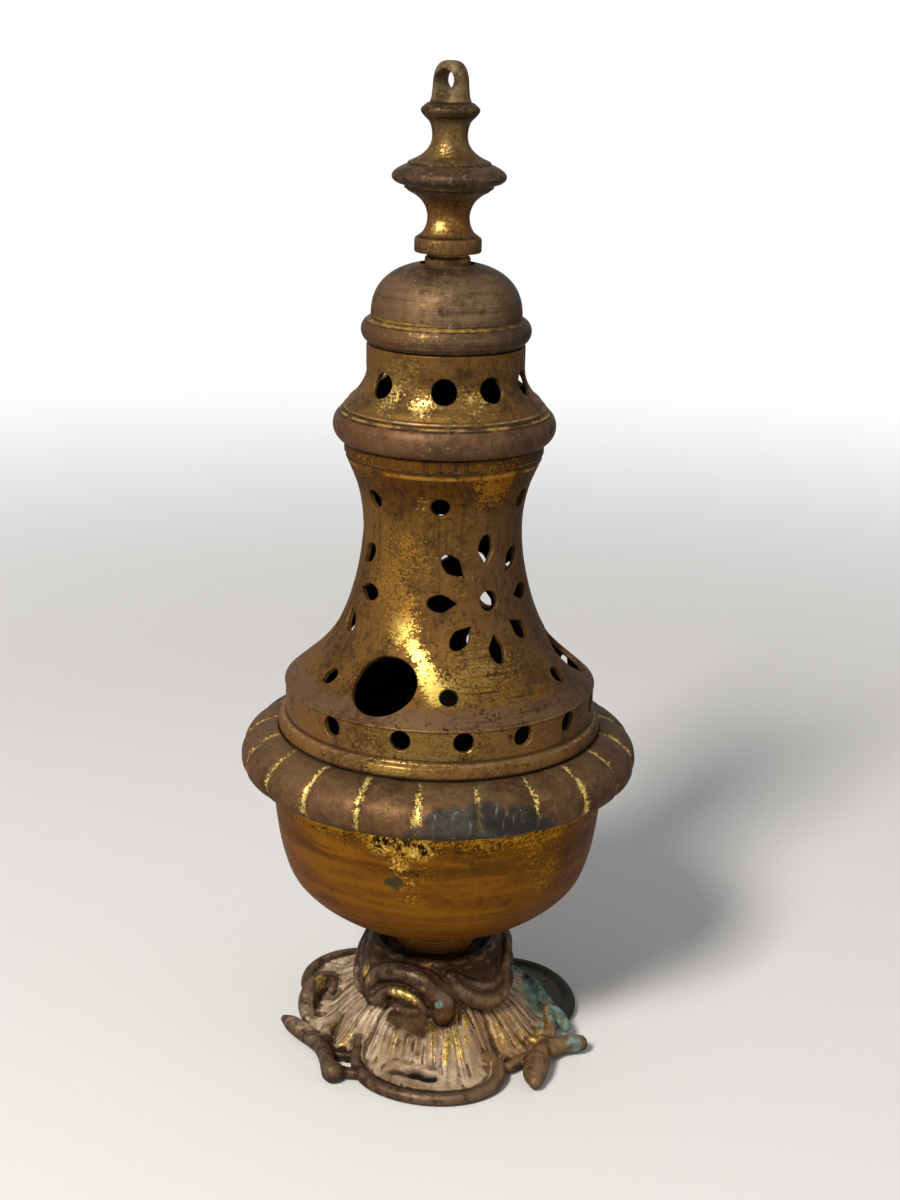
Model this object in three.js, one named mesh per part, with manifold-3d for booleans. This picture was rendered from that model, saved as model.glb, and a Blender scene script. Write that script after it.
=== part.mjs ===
// A thurible in gilt brass and bronze: a rocaille foot, a spun bowl with a gadrooned rim,
// a loose fire pan, and a pierced cover of bell, turret, dome and finial.
// Millimetres, +Z up, the origin under the foot on the object's axis.
// An azimuth is in degrees: 0 looks towards -Y, and it grows towards +X.

import * as THREE from "three";
import { mergeVertices } from "three/addons/utils/BufferGeometryUtils.js";
import Module from "manifold-3d";

const wasm = await Module();
wasm.setup();

// Walls and clearances
const touchGap = 0.3;
const slideGap = 0.5;
const sheet = 1.3;

// Foot: three shell lobes, a sprig with two tips between each two, and a crown of scrolls
const lobeAzimuths = [2, 119, 239];
const lobeReaches = [41.2, 39.6, 37.8];
const sprigTips = [[40, 73], [158, 196], [277, 320.5]];
const sprigReaches = [41.6, 41.2, 40.4];
const scrollAzimuths = [2, 122, 242];
const lobeRadius = 22;
const webReach = 32.5;
const apronThickness = 2.4;
const footLand = 5;
const footHeight = 26.8;
const crownRadius = 17.2;
const crownWall = 5.6;
const crownSwell = 2.8;
const crownSkirt = 6;
const crownEdge = 0.6;
const crownRecess = 4.6;
const deckThickness = 3.4;
const rimTubeRadius = 1.7;
const sprigRadius = 2.7;
const bridgeSpan = 9;
const scrollRadius = 2.2;
const swagRadius = 2.7;

// Boss and bowl
const bossTopRadius = 10.4;
const bossBottomRadius = 8.5;
const bossHeight = 6.8;
const bowlRadius = 42.4;
const bowlDepth = 54.2;
const bowlFloorRadius = 9.8;

// Tie bolt
const boltRadius = 3;
const boltHeadRadius = 5.6;
const boltHeadHeight = 2.6;
const footWasherRadius = 7.2;
const footWasherThickness = 1.4;
const footNutAcross = 10;
const footNutHeight = 5;
const boltTail = 1.5;

// Gadrooned rim
const gadroonCount = 20;
const firstGroove = 13;
const gadroonDepth = 1;
const rimOverhang = 8.3;
const rimDrop = 11.9;
const rimSeatWidth = 1.5;
const rimPlate = 1.3;
const rimRebate = 1.3;

// Fire pan
const panDepth = 39;
const panFloorRadius = 26;
const panLip = 1.7;
const panLipThickness = 1;

// Cover bell
const flangeInset = 0.1;
const flangeHeight = 3;
const bandInset = 1.9;
const bandHeight = 11.8;
const spigotDepth = 3.2;
const waistRadius = 19.75;
const waistHeight = 51;
const bellMouthRadius = 24.5;
const bellHeight = 73.3;

// Holes in the bell: heights are above the cover's flange
const bandHoleRadius = 2.5;
const bandHoleHeight = 8.8;
const firstBandHole = -13.5;
const bandHolePitch = 22.4;
const bandHoleCount = 13;
const strayBandHole = -41.4;
const smokeHoleRadius = 7.8;
const smokeHoleHeight = 18.8;
const firstSmokeHole = -25.5;
const smokeHoleCount = 3;
const lowHoleRadius = 2.3;
const lowHoleHeight = 17.9;
const firstLowHole = 4;
const lowHoleCount = 6;
const highHoleRadius = 2.4;
const highHoleHeight = 61.2;
const highHoleAzimuths = [-52, -1.5, 66, 124, 184, 246];
const rosetteCount = 3;
const firstRosette = 32.5;
const rosetteHeight = 37.8;
const rosetteRadius = 12;
const rosetteEyeRadius = 2.5;
const petalCount = 8;
const petalLength = 7.6;
const petalWidth = 4.3;

// Turret
const torusReach = 27.3;
const torusRadius = 4.4;
const torusHeight = 7.4;
const skirtRadius = 24.2;
const skirtDrop = 1.1;
const turretFlare = 7.6;
const turretRadius = 19.25;
const turretHeight = 23.5;
const turretSpigot = 2.9;
const turretHoleRadius = 3.1;
const turretHoleHeight = 15.2;
const turretHoleAzimuths = [-49, -0.5, 34, 72.5, 113, 154, 195, 233, 272];

// Dome cap
const capTorusReach = 20.6;
const capTorusRadius = 3.3;
const capTorusHeight = 5.9;
const domeRadius = 18.3;
const domeRise = 13.5;
const domeSquareness = 2.5;
const domeHoleRadius = 6.6;
const capSpigot = 2.8;

// Finial and what holds it
const tangRadius = 2.4;
const spacerRadius = 5.5;
const spacerNeckRadius = 5;
const spacerNeckHeight = 0.6;
const collarLift = 2.2;
const collarRadius = 8.05;
const collarHeight = 3.4;
const lowNeckRadius = 5.05;
const lowNeckHeight = 8.3;
const discUnderRadius = 10.6;
const discRadius = 13.6;
const discHeight = 17.6;
const discStepRadius = 9.9;
const highNeckRadius = 4.2;
const highNeckHeight = 26;
const knopRadius = 6.95;
const knopHeight = 32.8;
const eyeHeight = 39.6;
const eyeTop = 43.9;
const eyeRadius = 2.4;
const eyeWidth = 8.9;
const eyeThickness = 6.2;
const eyeAzimuth = -25;
const domeWasherRadius = 8.4;
const domeWasherThickness = 1.4;
const finialNutAcross = 8.4;
const finialNutHeight = 3.6;
const tangTail = 1.2;

// Facets round a turned piece
const wideFacets = 30;
const footFacets = 32;
const narrowFacets = 24;
const slimFacets = 16;
const smallHoleFacets = 6;
const bigHoleFacets = 12;
const facetsPerGadroon = 3;
const rodSides = 5;

// Levels, each from the piece that carries the next
const deckTop = footHeight - crownRecess;
const bossBottom = deckTop + touchGap;
const bowlBottom = bossBottom + bossHeight + touchGap;
const bowlTop = bowlBottom + bowlDepth;
const rimPlateBottom = bowlTop + touchGap;
const rimRebateFloor = rimPlateBottom + rimPlate;
const rimTop = rimRebateFloor + rimRebate;
const panLipBottom = rimRebateFloor + touchGap;
const coverBottom = Math.max(rimTop, panLipBottom + panLipThickness) + touchGap;
const bellTop = coverBottom + bellHeight;
const turretBottom = bellTop + touchGap;
const turretTop = turretBottom + turretHeight;
const capBottom = turretTop + touchGap;
const domeBottom = capBottom + capTorusHeight;
const domeTop = domeBottom + domeRise;
const finialBottom = domeTop + collarLift;

// Radii, each from the piece that it fits
const panRadius = bowlRadius - sheet - rimSeatWidth - slideGap;
const rimBore = panRadius + slideGap;
const panMouthRadius = panRadius - sheet;
const spigotRadius = panMouthRadius - slideGap;
const rimSkirtRadius = bowlRadius + touchGap;
const panLipRadius = panRadius + panLip;
const rimRebateRadius = panLipRadius + touchGap;
const flangeRadius = rimRebateRadius - flangeInset;
const bandRadius = flangeRadius - bandInset;
const turretSpigotRadius = bellMouthRadius - sheet - touchGap;
const capSpigotRadius = turretRadius - sheet - touchGap;
const boltHoleRadius = boltRadius + touchGap;
const tangHoleRadius = tangRadius + touchGap;

// A point of a turned profile: radius and height
const at = (radius, height) => new THREE.Vector2(radius, height);

function placed(azimuth, radius, height) {
  const turn = THREE.MathUtils.degToRad(azimuth);
  return new THREE.Vector3(radius * Math.sin(turn), -radius * Math.cos(turn), height);
}

function smoothCurve(points, steps) {
  return new THREE.SplineCurve(points).getPoints(steps);
}

function arc(centreRadius, centreHeight, radius, fromDegrees, toDegrees, steps) {
  const turn = THREE.MathUtils.degToRad;
  const curve = new THREE.EllipseCurve(
    centreRadius, centreHeight, radius, radius, turn(fromDegrees), turn(toDegrees), toDegrees < fromDegrees);
  return curve.getPoints(steps);
}

// The same curve moved sideways by a wall, to its left as it runs
function offsetCurve(points, wall) {
  return points.map((point, index) => {
    const before = points[Math.max(index - 1, 0)];
    const after = points[Math.min(index + 1, points.length - 1)];
    const along = after.clone().sub(before).normalize();
    return at(point.x - wall * along.y, point.y + wall * along.x);
  });
}

const everySecond = (_, index) => index % 2 === 0;

// A closed solid from any closed geometry, with its faces turned outwards
function solid(geometry) {
  const bare = geometry.index ? geometry.toNonIndexed() : geometry;
  for (const name of Object.keys(bare.attributes)) {
    if (name !== "position") bare.deleteAttribute(name);
  }
  const merged = mergeVertices(bare, 1e-4);
  const position = merged.attributes.position;
  const corner = (index) => new THREE.Vector3().fromBufferAttribute(position, index);
  const triangles = [];
  let volume = 0;
  for (let i = 0; i < merged.index.count; i += 3) {
    const [a, b, c] = [0, 1, 2].map((step) => merged.index.getX(i + step));
    if (a === b || b === c || c === a) continue;
    volume += corner(a).dot(corner(b).cross(corner(c)));
    triangles.push(a, b, c);
  }
  if (volume < 0) triangles.reverse();
  return new wasm.Manifold(new wasm.Mesh({
    numProp: 3,
    vertProperties: new Float32Array(position.array),
    triVerts: new Uint32Array(triangles),
  }));
}

function geometryOf(body) {
  const mesh = body.getMesh();
  const geometry = new THREE.BufferGeometry();
  geometry.setAttribute("position", new THREE.BufferAttribute(mesh.vertProperties, 3));
  geometry.setIndex(new THREE.BufferAttribute(mesh.triVerts, 1));
  geometry.computeVertexNormals();
  return geometry;
}

function cutAll(body, tools) {
  return tools.reduce((rest, tool) => rest.subtract(tool), body);
}

function joinAll(bodies) {
  return bodies.reduce((whole, next) => whole.add(next));
}

function turnedGeometry(profile, facets) {
  const closed = [...profile];
  const onAxis = profile[0].x === 0 && profile[profile.length - 1].x === 0;
  if (!onAxis) closed.push(profile[0].clone());
  return new THREE.LatheGeometry(closed, facets).rotateX(Math.PI / 2);
}

const turned = (profile, facets) => solid(turnedGeometry(profile, facets));

function ring(bore, radius, bottom, top, facets) {
  return turned([at(bore, bottom), at(radius, bottom), at(radius, top), at(bore, top)], facets);
}

function hexNut(across, height, bore, bottom) {
  const corners = new THREE.CylinderGeometry(across / Math.sqrt(3), across / Math.sqrt(3), height, 6);
  const body = solid(corners.rotateX(Math.PI / 2).translate(0, 0, bottom + height / 2));
  return body.subtract(plug(bore, bottom - height, bottom + 2 * height));
}

function plug(radius, bottom, top) {
  return turned([at(0, bottom), at(radius, bottom), at(radius, top), at(0, top)], slimFacets);
}

// Where a turned profile has a given height, and which way its wall faces there
function profileAt(points, height) {
  const next = points.findIndex((point, index) => index > 0 && point.y >= height);
  const [low, high] = [points[next - 1], points[next]];
  const share = (height - low.y) / (high.y - low.y);
  const along = high.clone().sub(low).normalize();
  return { radius: THREE.MathUtils.lerp(low.x, high.x, share), normal: at(along.y, -along.x) };
}

// Stands a cutter, whose axis is +Z and whose top is +Y, square on the wall
function squareToWall(geometry, azimuth, wall, height) {
  const outward = placed(azimuth, wall.normal.x, wall.normal.y);
  const sideways = placed(azimuth + 90, 1, 0);
  const upward = outward.clone().cross(sideways);
  const frame = new THREE.Matrix4().makeBasis(sideways, upward, outward);
  frame.setPosition(placed(azimuth, wall.radius, height));
  return solid(geometry.applyMatrix4(frame));
}

function drill(radius, reach, facets) {
  return new THREE.CylinderGeometry(radius, radius, 2 * reach, facets).rotateX(Math.PI / 2);
}

// A petal with its point towards the rosette's middle
function petalCutter(length, width, reach) {
  const bulb = width / 2;
  const middle = length / 2 - bulb;
  const round = [0, 60, 120, 180].map(THREE.MathUtils.degToRad)
    .map((turn) => at(bulb * Math.cos(turn), middle + bulb * Math.sin(turn)));
  const shape = new THREE.Shape([at(0, -length / 2), at(bulb * 0.72, -length * 0.14), ...round,
    at(-bulb * 0.72, -length * 0.14)]);
  const geometry = new THREE.ExtrudeGeometry(shape, { depth: 2 * reach, bevelEnabled: false });
  return geometry.translate(0, 0, -reach);
}

// A round-ended rod of changing thickness along a curve: its section is wide across and tall along up
function taperedRod(path, widths, heights, up, steps, sides) {
  const curve = new THREE.CatmullRomCurve3(path, false, "centripetal");
  const sizeAt = (sizes, share) => {
    const place = share * (sizes.length - 1);
    const index = Math.min(Math.floor(place), sizes.length - 2);
    return THREE.MathUtils.lerp(sizes[index], sizes[index + 1], place - index);
  };
  const rings = [];
  for (let step = 0; step <= steps; step += 1) {
    const share = step / steps;
    const centre = curve.getPoint(share);
    const along = curve.getTangent(share);
    const across = along.clone().cross(up(centre)).normalize();
    const tall = across.clone().cross(along).normalize();
    const endShrink = step === 0 || step === steps ? 0.55 : 1;
    rings.push(Array.from({ length: sides }, (_, side) => {
      const turn = (2 * Math.PI * (side + 0.5)) / sides;
      return centre.clone()
        .addScaledVector(across, Math.cos(turn) * sizeAt(widths, share) * endShrink)
        .addScaledVector(tall, Math.sin(turn) * sizeAt(heights, share) * endShrink);
    }));
  }
  const corners = [];
  const triangle = (a, b, c) => corners.push(...a.toArray(), ...b.toArray(), ...c.toArray());
  for (let step = 0; step < steps; step += 1) {
    for (let side = 0; side < sides; side += 1) {
      const next = (side + 1) % sides;
      triangle(rings[step][side], rings[step + 1][side], rings[step + 1][next]);
      triangle(rings[step][side], rings[step + 1][next], rings[step][next]);
    }
  }
  for (let side = 1; side < sides - 1; side += 1) {
    triangle(rings[0][0], rings[0][side], rings[0][side + 1]);
    triangle(rings[steps][0], rings[steps][side + 1], rings[steps][side]);
  }
  const geometry = new THREE.BufferGeometry();
  geometry.setAttribute("position", new THREE.Float32BufferAttribute(corners, 3));
  return solid(geometry);
}

const straightUp = () => new THREE.Vector3(0, 0, 1);
const outFromAxis = (point) => new THREE.Vector3(point.x, point.y, 0).normalize();

// The foot's outline: each lobe is a circle off the axis, and a web joins them
function footReach(azimuth) {
  const reaches = lobeAzimuths.map((lobe, index) => {
    const centre = lobeReaches[index] - lobeRadius;
    const turn = THREE.MathUtils.degToRad(azimuth - lobe);
    const half = lobeRadius ** 2 - (centre * Math.sin(turn)) ** 2;
    return half < 0 ? 0 : centre * Math.cos(turn) + Math.sqrt(half);
  });
  return Math.max(webReach, ...reaches);
}

// The apron: its shares run from the crown at 0 to the outline at 1
function footApron() {
  const shares = [0, 0.14, 0.35, 0.6, 0.8, 0.9, 1];
  const heights = [0.65, 0.49, 0.355, 0.235, 0.13, 0.078, 0.072].map((share) => share * footHeight);
  const core = crownRadius - crownWall;
  const landShare = 1 - footLand / (Math.max(...lobeReaches) - core);
  const top = shares.map((share, index) => at(share, heights[index]));
  const under = [
    at(1, 0),
    at(landShare, 0),
    at(landShare - 0.06, heights[4] - apronThickness),
    at(shares[3], heights[3] - apronThickness),
    at(shares[2], heights[2] - apronThickness),
    at(shares[1], heights[1] - apronThickness),
    at(0, heights[0] - apronThickness),
  ];
  const geometry = turnedGeometry([...top, ...under].map((point) => at(1 + point.x, point.y)), footFacets);
  const position = geometry.attributes.position;
  for (let i = 0; i < position.count; i += 1) {
    const share = Math.hypot(position.getX(i), position.getY(i)) - 1;
    const azimuth = THREE.MathUtils.radToDeg(Math.atan2(position.getX(i), -position.getY(i)));
    const point = placed(azimuth, core + share * (footReach(azimuth) - core), position.getZ(i));
    position.setXYZ(i, point.x, point.y, point.z);
  }
  return solid(geometry);
}

function footCrown() {
  const deckBottom = deckTop - deckThickness;
  const cup = crownRadius - crownWall;
  return turned([
    at(boltHoleRadius, deckBottom),
    at(cup, deckBottom),
    at(cup + crownWall * 0.27, deckBottom - crownSkirt),
    at(crownRadius + crownSwell * 0.43, deckBottom - crownSkirt * 0.83),
    at(crownRadius + crownSwell, deckBottom),
    at(crownRadius + crownSwell * 0.7, footHeight - crownSkirt * 0.6),
    at(crownRadius, footHeight - crownEdge),
    at(crownRadius - crownWall * 0.36, footHeight),
    at(cup + crownEdge, deckTop + crownEdge),
    at(bossBottomRadius + crownEdge, deckTop),
    at(boltHoleRadius, deckTop),
  ], slimFacets);
}

const timesAll = (size, shares) => shares.map((share) => size * share);

// A tube follows the lobe's edge and curls in at its right end: insets and rises are in tube radii
function lobeRim(lobe, index) {
  const placedIn = (azimuth, reach, inset, rise) =>
    placed(lobe + azimuth, reach - inset * rimTubeRadius, (1.24 + rise) * rimTubeRadius);
  const onRim = (azimuth, inset) => placedIn(azimuth, footReach(lobe + azimuth), inset, 0);
  const curl = (azimuth, inset, rise) => placedIn(azimuth, lobeReaches[index], inset, rise);
  const thickness = timesAll(rimTubeRadius, [0.6, 1, 1, 1, 1.1]);
  return taperedRod([
    onRim(-52, 1.5), onRim(-38, 0.7), onRim(-24, 0.35), onRim(-8, 0.24), onRim(8, 0.24), onRim(22, 0.47),
    onRim(32, 0.47), curl(36, 4, 0.24), curl(30, 5.4, 0.53), curl(25, 4.2, 0.53),
  ], thickness, thickness, straightUp, 12, rodSides);
}

// A forked leaf, and a bridge from its second tip to the next lobe: insets and rises are in leaf radii
function sprig([first, last], index) {
  const along = (share, inset, rise) => {
    const azimuth = THREE.MathUtils.lerp(first, last, share);
    return placed(azimuth, sprigReaches[index] - inset * sprigRadius, (0.9 + rise) * sprigRadius);
  };
  const thickness = timesAll(sprigRadius, [1.1, 0.85, 1.1, 0.85, 1.1]);
  const leaf = taperedRod([
    along(0, 0, 0), along(0.2, 1.7, 0.22), along(0.5, 3, 0.52), along(0.8, 1.7, 0.22), along(1, 0, 0),
  ], thickness, thickness, straightUp, 8, rodSides);
  const shore = last + bridgeSpan;
  const bridge = taperedRod(
    [along(0.9, 0.9, 0), placed(shore, footReach(shore) - sprigRadius, sprigRadius * 0.9)],
    timesAll(sprigRadius, [1, 1]), timesAll(sprigRadius, [0.8, 0.8]), straightUp, 1, rodSides);
  return leaf.add(bridge);
}

// The C scroll ends in a ball over the front of the lobe: it stands proud of the crown in its own radii
function cScroll(middle) {
  const along = (azimuth, proud, height) =>
    placed(middle + azimuth, crownRadius + proud * scrollRadius, height * footHeight);
  const thickness = timesAll(scrollRadius, [1.45, 1, 1, 1, 1, 0.9, 0.7]);
  return taperedRod([
    along(7, 1.6, 0.44), along(2, 2.1, 0.61), along(-10, 1.55, 0.73), along(-26, 1.2, 0.77),
    along(-40, 1.3, 0.71), along(-48, 1.55, 0.57), along(-42, 1.6, 0.42),
  ], thickness, thickness, outFromAxis, 9, rodSides);
}

// The swag hangs as a crescent beside the C scroll and climbs to the crown's edge
function swag(middle) {
  const along = (azimuth, proud, height) =>
    placed(middle + azimuth, crownRadius + proud * swagRadius, height * footHeight);
  const thickness = timesAll(swagRadius, [0.48, 0.8, 1, 0.93, 0.8, 0.6]);
  return taperedRod([
    along(10, 0.74, 0.85), along(20, 1.33, 0.72), along(36, 1.7, 0.645), along(50, 1.5, 0.7),
    along(60, 0.9, 0.81), along(70, 0, 0.92),
  ], thickness, thickness, outFromAxis, 8, rodSides);
}

// The biggest shell of a body: any pocket shut in on all sides is filled
function withoutPockets(body) {
  return body.decompose().reduce((best, shell) => (shell.volume() > best.volume() ? shell : best));
}

function footCasting() {
  const ornament = [
    ...lobeAzimuths.map(lobeRim),
    ...sprigTips.map(sprig),
    ...scrollAzimuths.flatMap((middle) => [cScroll(middle), swag(middle)]),
  ];
  const whole = joinAll([footApron(), footCrown(), ...ornament]);
  const below = -footHeight;
  const beyond = 2 * Math.max(...lobeReaches);
  const underTable = turned([at(0, below), at(beyond, below), at(beyond, 0), at(0, 0)], slimFacets);
  const boltWay = plug(boltHoleRadius, below, 2 * footHeight);
  const nutSpace = plug(crownRadius - crownWall - touchGap, below, deckTop - deckThickness);
  return withoutPockets(cutAll(whole, [underTable, boltWay, nutSpace]));
}

function stemBoss() {
  const top = bossBottom + bossHeight;
  return turned([
    at(boltHoleRadius, bossBottom),
    at(bossBottomRadius, bossBottom),
    at(bossBottomRadius, top - 3.9),
    at(bossBottomRadius + 0.4, top - 2.4),
    at(bossTopRadius - 0.4, top - 0.9),
    at(bossTopRadius, top - 0.5),
    at(bossTopRadius, top),
    at(boltHoleRadius, top),
  ], narrowFacets);
}

// The bowl's outside, from its floor up to the rim, in shares of its radius and depth
function bowlCurve() {
  const level = (share) => bowlBottom + share * bowlDepth;
  return [
    at(bowlFloorRadius, bowlBottom),
    ...smoothCurve([
      at(bowlRadius * 0.34, level(0.018)), at(bowlRadius * 0.56, level(0.1)), at(bowlRadius * 0.77, level(0.22)),
      at(bowlRadius * 0.895, level(0.33)), at(bowlRadius * 0.955, level(0.45)), at(bowlRadius * 0.985, level(0.6)),
      at(bowlRadius, level(0.76)),
    ], 8),
    at(bowlRadius, bowlTop),
  ];
}

function bowl() {
  const outside = bowlCurve();
  const inside = offsetCurve(outside, sheet).slice(1, -1).filter(everySecond);
  return turned([
    at(boltHoleRadius, bowlBottom),
    ...outside,
    at(bowlRadius - sheet, bowlTop),
    ...inside.reverse(),
    at(boltHoleRadius, bowlBottom + sheet),
  ], wideFacets);
}

function tieBolt() {
  const headBottom = bowlBottom + sheet + touchGap;
  const nutBottom = deckTop - deckThickness - 2 * touchGap - footWasherThickness - footNutHeight;
  return turned([
    at(0, nutBottom - boltTail),
    at(boltRadius, nutBottom - boltTail),
    at(boltRadius, headBottom),
    at(boltHeadRadius, headBottom),
    at(boltHeadRadius, headBottom + boltHeadHeight * 0.4),
    at(boltHeadRadius * 0.75, headBottom + boltHeadHeight * 0.85),
    at(0, headBottom + boltHeadHeight),
  ], slimFacets);
}

function footWasher() {
  const top = deckTop - deckThickness - touchGap;
  return ring(boltHoleRadius, footWasherRadius, top - footWasherThickness, top, slimFacets);
}

function footNut() {
  const top = deckTop - deckThickness - 2 * touchGap - footWasherThickness;
  return hexNut(footNutAcross, footNutHeight, boltHoleRadius, top - footNutHeight);
}

// The rim's lobes swell between narrow grooves, most where the rim is widest
function gadroonRim() {
  const reach = bowlRadius + rimOverhang;
  const lip = rimTop - rimDrop;
  const seat = rimRebateRadius + 0.8;
  const crest = smoothCurve([
    at(seat, rimTop), at(seat + (reach - seat) * 0.44, rimTop - 0.9), at(reach - 2, lip + rimDrop * 0.73),
    at(reach - 0.3, lip + rimDrop * 0.48), at(reach - 0.1, lip + rimDrop * 0.22), at(reach - 1.6, lip + 0.5),
    at(reach - 3.4, lip),
  ], 6);
  const profile = [
    at(rimBore, rimPlateBottom),
    at(rimBore, rimRebateFloor),
    at(rimRebateRadius, rimRebateFloor),
    at(rimRebateRadius, rimTop),
    ...crest,
    at(reach - 5, lip + 1.2),
    at(rimSkirtRadius, lip + 3.6),
    at(rimSkirtRadius, rimPlateBottom),
  ];
  const geometry = turnedGeometry(profile, gadroonCount * facetsPerGadroon);
  geometry.rotateZ(THREE.MathUtils.degToRad(firstGroove));
  const position = geometry.attributes.position;
  for (let i = 0; i < position.count; i += 1) {
    const radius = Math.hypot(position.getX(i), position.getY(i));
    const azimuth = THREE.MathUtils.radToDeg(Math.atan2(position.getX(i), -position.getY(i)));
    const across = THREE.MathUtils.euclideanModulo(((azimuth - firstGroove) * gadroonCount) / 360, 1) * 2 - 1;
    const hollow = 1 - Math.sqrt(Math.max(1 - across ** 2, 0));
    const weight = THREE.MathUtils.clamp((radius - seat) / 3, 0, 1);
    const point = placed(azimuth, radius - gadroonDepth * hollow * weight, position.getZ(i));
    position.setXYZ(i, point.x, point.y, point.z - gadroonDepth * 0.35 * hollow * weight);
  }
  return solid(geometry);
}

function firePan() {
  const top = panLipBottom + panLipThickness;
  const floor = top - panDepth;
  const outside = [
    at(panFloorRadius, floor),
    ...smoothCurve([
      at(panFloorRadius + 2, floor + 0.2), at(panRadius - 5.4, floor + 4), at(panRadius - 1.6, floor + 10),
      at(panRadius, floor + 20),
    ], 4),
    at(panRadius, panLipBottom),
  ];
  const inside = offsetCurve(outside, sheet).slice(1, -1);
  return turned([
    at(0, floor),
    ...outside,
    at(panLipRadius, panLipBottom),
    at(panLipRadius, top),
    at(panMouthRadius, top),
    ...inside.reverse(),
    at(0, floor + sheet),
  ], narrowFacets);
}

// The bell's flare, from the band's shoulder in to the waist and out again to the mouth
function bellFlare() {
  const level = (share) => coverBottom + bandHeight + share * (bellHeight - bandHeight - 2.8);
  const between = (share) => THREE.MathUtils.lerp(waistRadius, bandRadius, share);
  const waistShare = (waistHeight - bandHeight) / (bellHeight - bandHeight - 2.8);
  return smoothCurve([
    at(between(0.97), level(0.012)), at(between(0.64), level(0.107)), at(between(0.355), level(0.22)),
    at(between(0.2), level(0.33)), at(between(0.075), level(0.475)), at(waistRadius, level(waistShare)),
    at(THREE.MathUtils.lerp(waistRadius, bellMouthRadius, 0.14), level(0.81)),
    at(THREE.MathUtils.lerp(waistRadius, bellMouthRadius, 0.6), level(0.925)),
    at(bellMouthRadius - 0.2, level(1)),
  ], 8);
}

function rosetteCutters(outside) {
  const cutters = [];
  const eyeWall = profileAt(outside, coverBottom + rosetteHeight);
  for (let rosette = 0; rosette < rosetteCount; rosette += 1) {
    const middle = firstRosette + (360 / rosetteCount) * rosette;
    const eye = drill(rosetteEyeRadius, 4 * sheet, smallHoleFacets);
    cutters.push(squareToWall(eye, middle, eyeWall, coverBottom + rosetteHeight));
    for (let petal = 0; petal < petalCount; petal += 1) {
      const turn = (2 * Math.PI * petal) / petalCount;
      const rise = rosetteRadius * Math.cos(turn);
      const height = coverBottom + rosetteHeight + rise * (rise < 0 ? 0.92 : 1.02);
      const wall = profileAt(outside, height);
      const azimuth = middle + THREE.MathUtils.radToDeg((rosetteRadius * Math.sin(turn)) / wall.radius);
      const cutter = petalCutter(petalLength, petalWidth, 4 * sheet).rotateZ(-turn);
      cutters.push(squareToWall(cutter, azimuth, wall, height));
    }
  }
  return cutters;
}

function coverBell() {
  const shoulder = coverBottom + bandHeight;
  const flare = bellFlare();
  const outside = [
    at(flangeRadius, coverBottom),
    at(flangeRadius - 1, coverBottom + flangeHeight),
    at(bandRadius, coverBottom + flangeHeight + 1.2),
    at(bandRadius, shoulder - 0.4),
    ...flare,
    at(bellMouthRadius, bellTop - 2.4),
    at(bellMouthRadius, bellTop),
  ];
  const inside = offsetCurve(flare, sheet).filter(everySecond);
  const body = turned([
    at(spigotRadius - sheet, coverBottom - spigotDepth),
    at(spigotRadius, coverBottom - spigotDepth),
    at(spigotRadius, coverBottom),
    ...outside,
    at(bellMouthRadius - sheet, bellTop),
    ...inside.reverse(),
    at(bandRadius - sheet, shoulder - 1),
    at(bandRadius - sheet, coverBottom + flangeHeight + 1.6),
    at(spigotRadius - sheet, coverBottom + flangeHeight - 0.4),
  ], wideFacets);
  const reach = 4 * sheet;
  const hole = (radius, facets, azimuth, height) =>
    squareToWall(drill(radius, reach, facets), azimuth, profileAt(outside, coverBottom + height), coverBottom + height);
  const evenly = (count, first, pitch, make) => Array.from({ length: count }, (_, index) => make(first + pitch * index));
  return cutAll(body, [
    ...evenly(bandHoleCount, firstBandHole, bandHolePitch,
      (azimuth) => hole(bandHoleRadius, smallHoleFacets, azimuth, bandHoleHeight)),
    hole(bandHoleRadius, smallHoleFacets, strayBandHole, bandHoleHeight),
    ...evenly(smokeHoleCount, firstSmokeHole, 360 / smokeHoleCount,
      (azimuth) => hole(smokeHoleRadius, bigHoleFacets, azimuth, smokeHoleHeight)),
    ...evenly(lowHoleCount, firstLowHole, 360 / lowHoleCount,
      (azimuth) => hole(lowHoleRadius, smallHoleFacets, azimuth, lowHoleHeight)),
    ...highHoleAzimuths.map((azimuth) => hole(highHoleRadius, smallHoleFacets, azimuth, highHoleHeight)),
    ...rosetteCutters(outside),
  ]);
}

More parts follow.
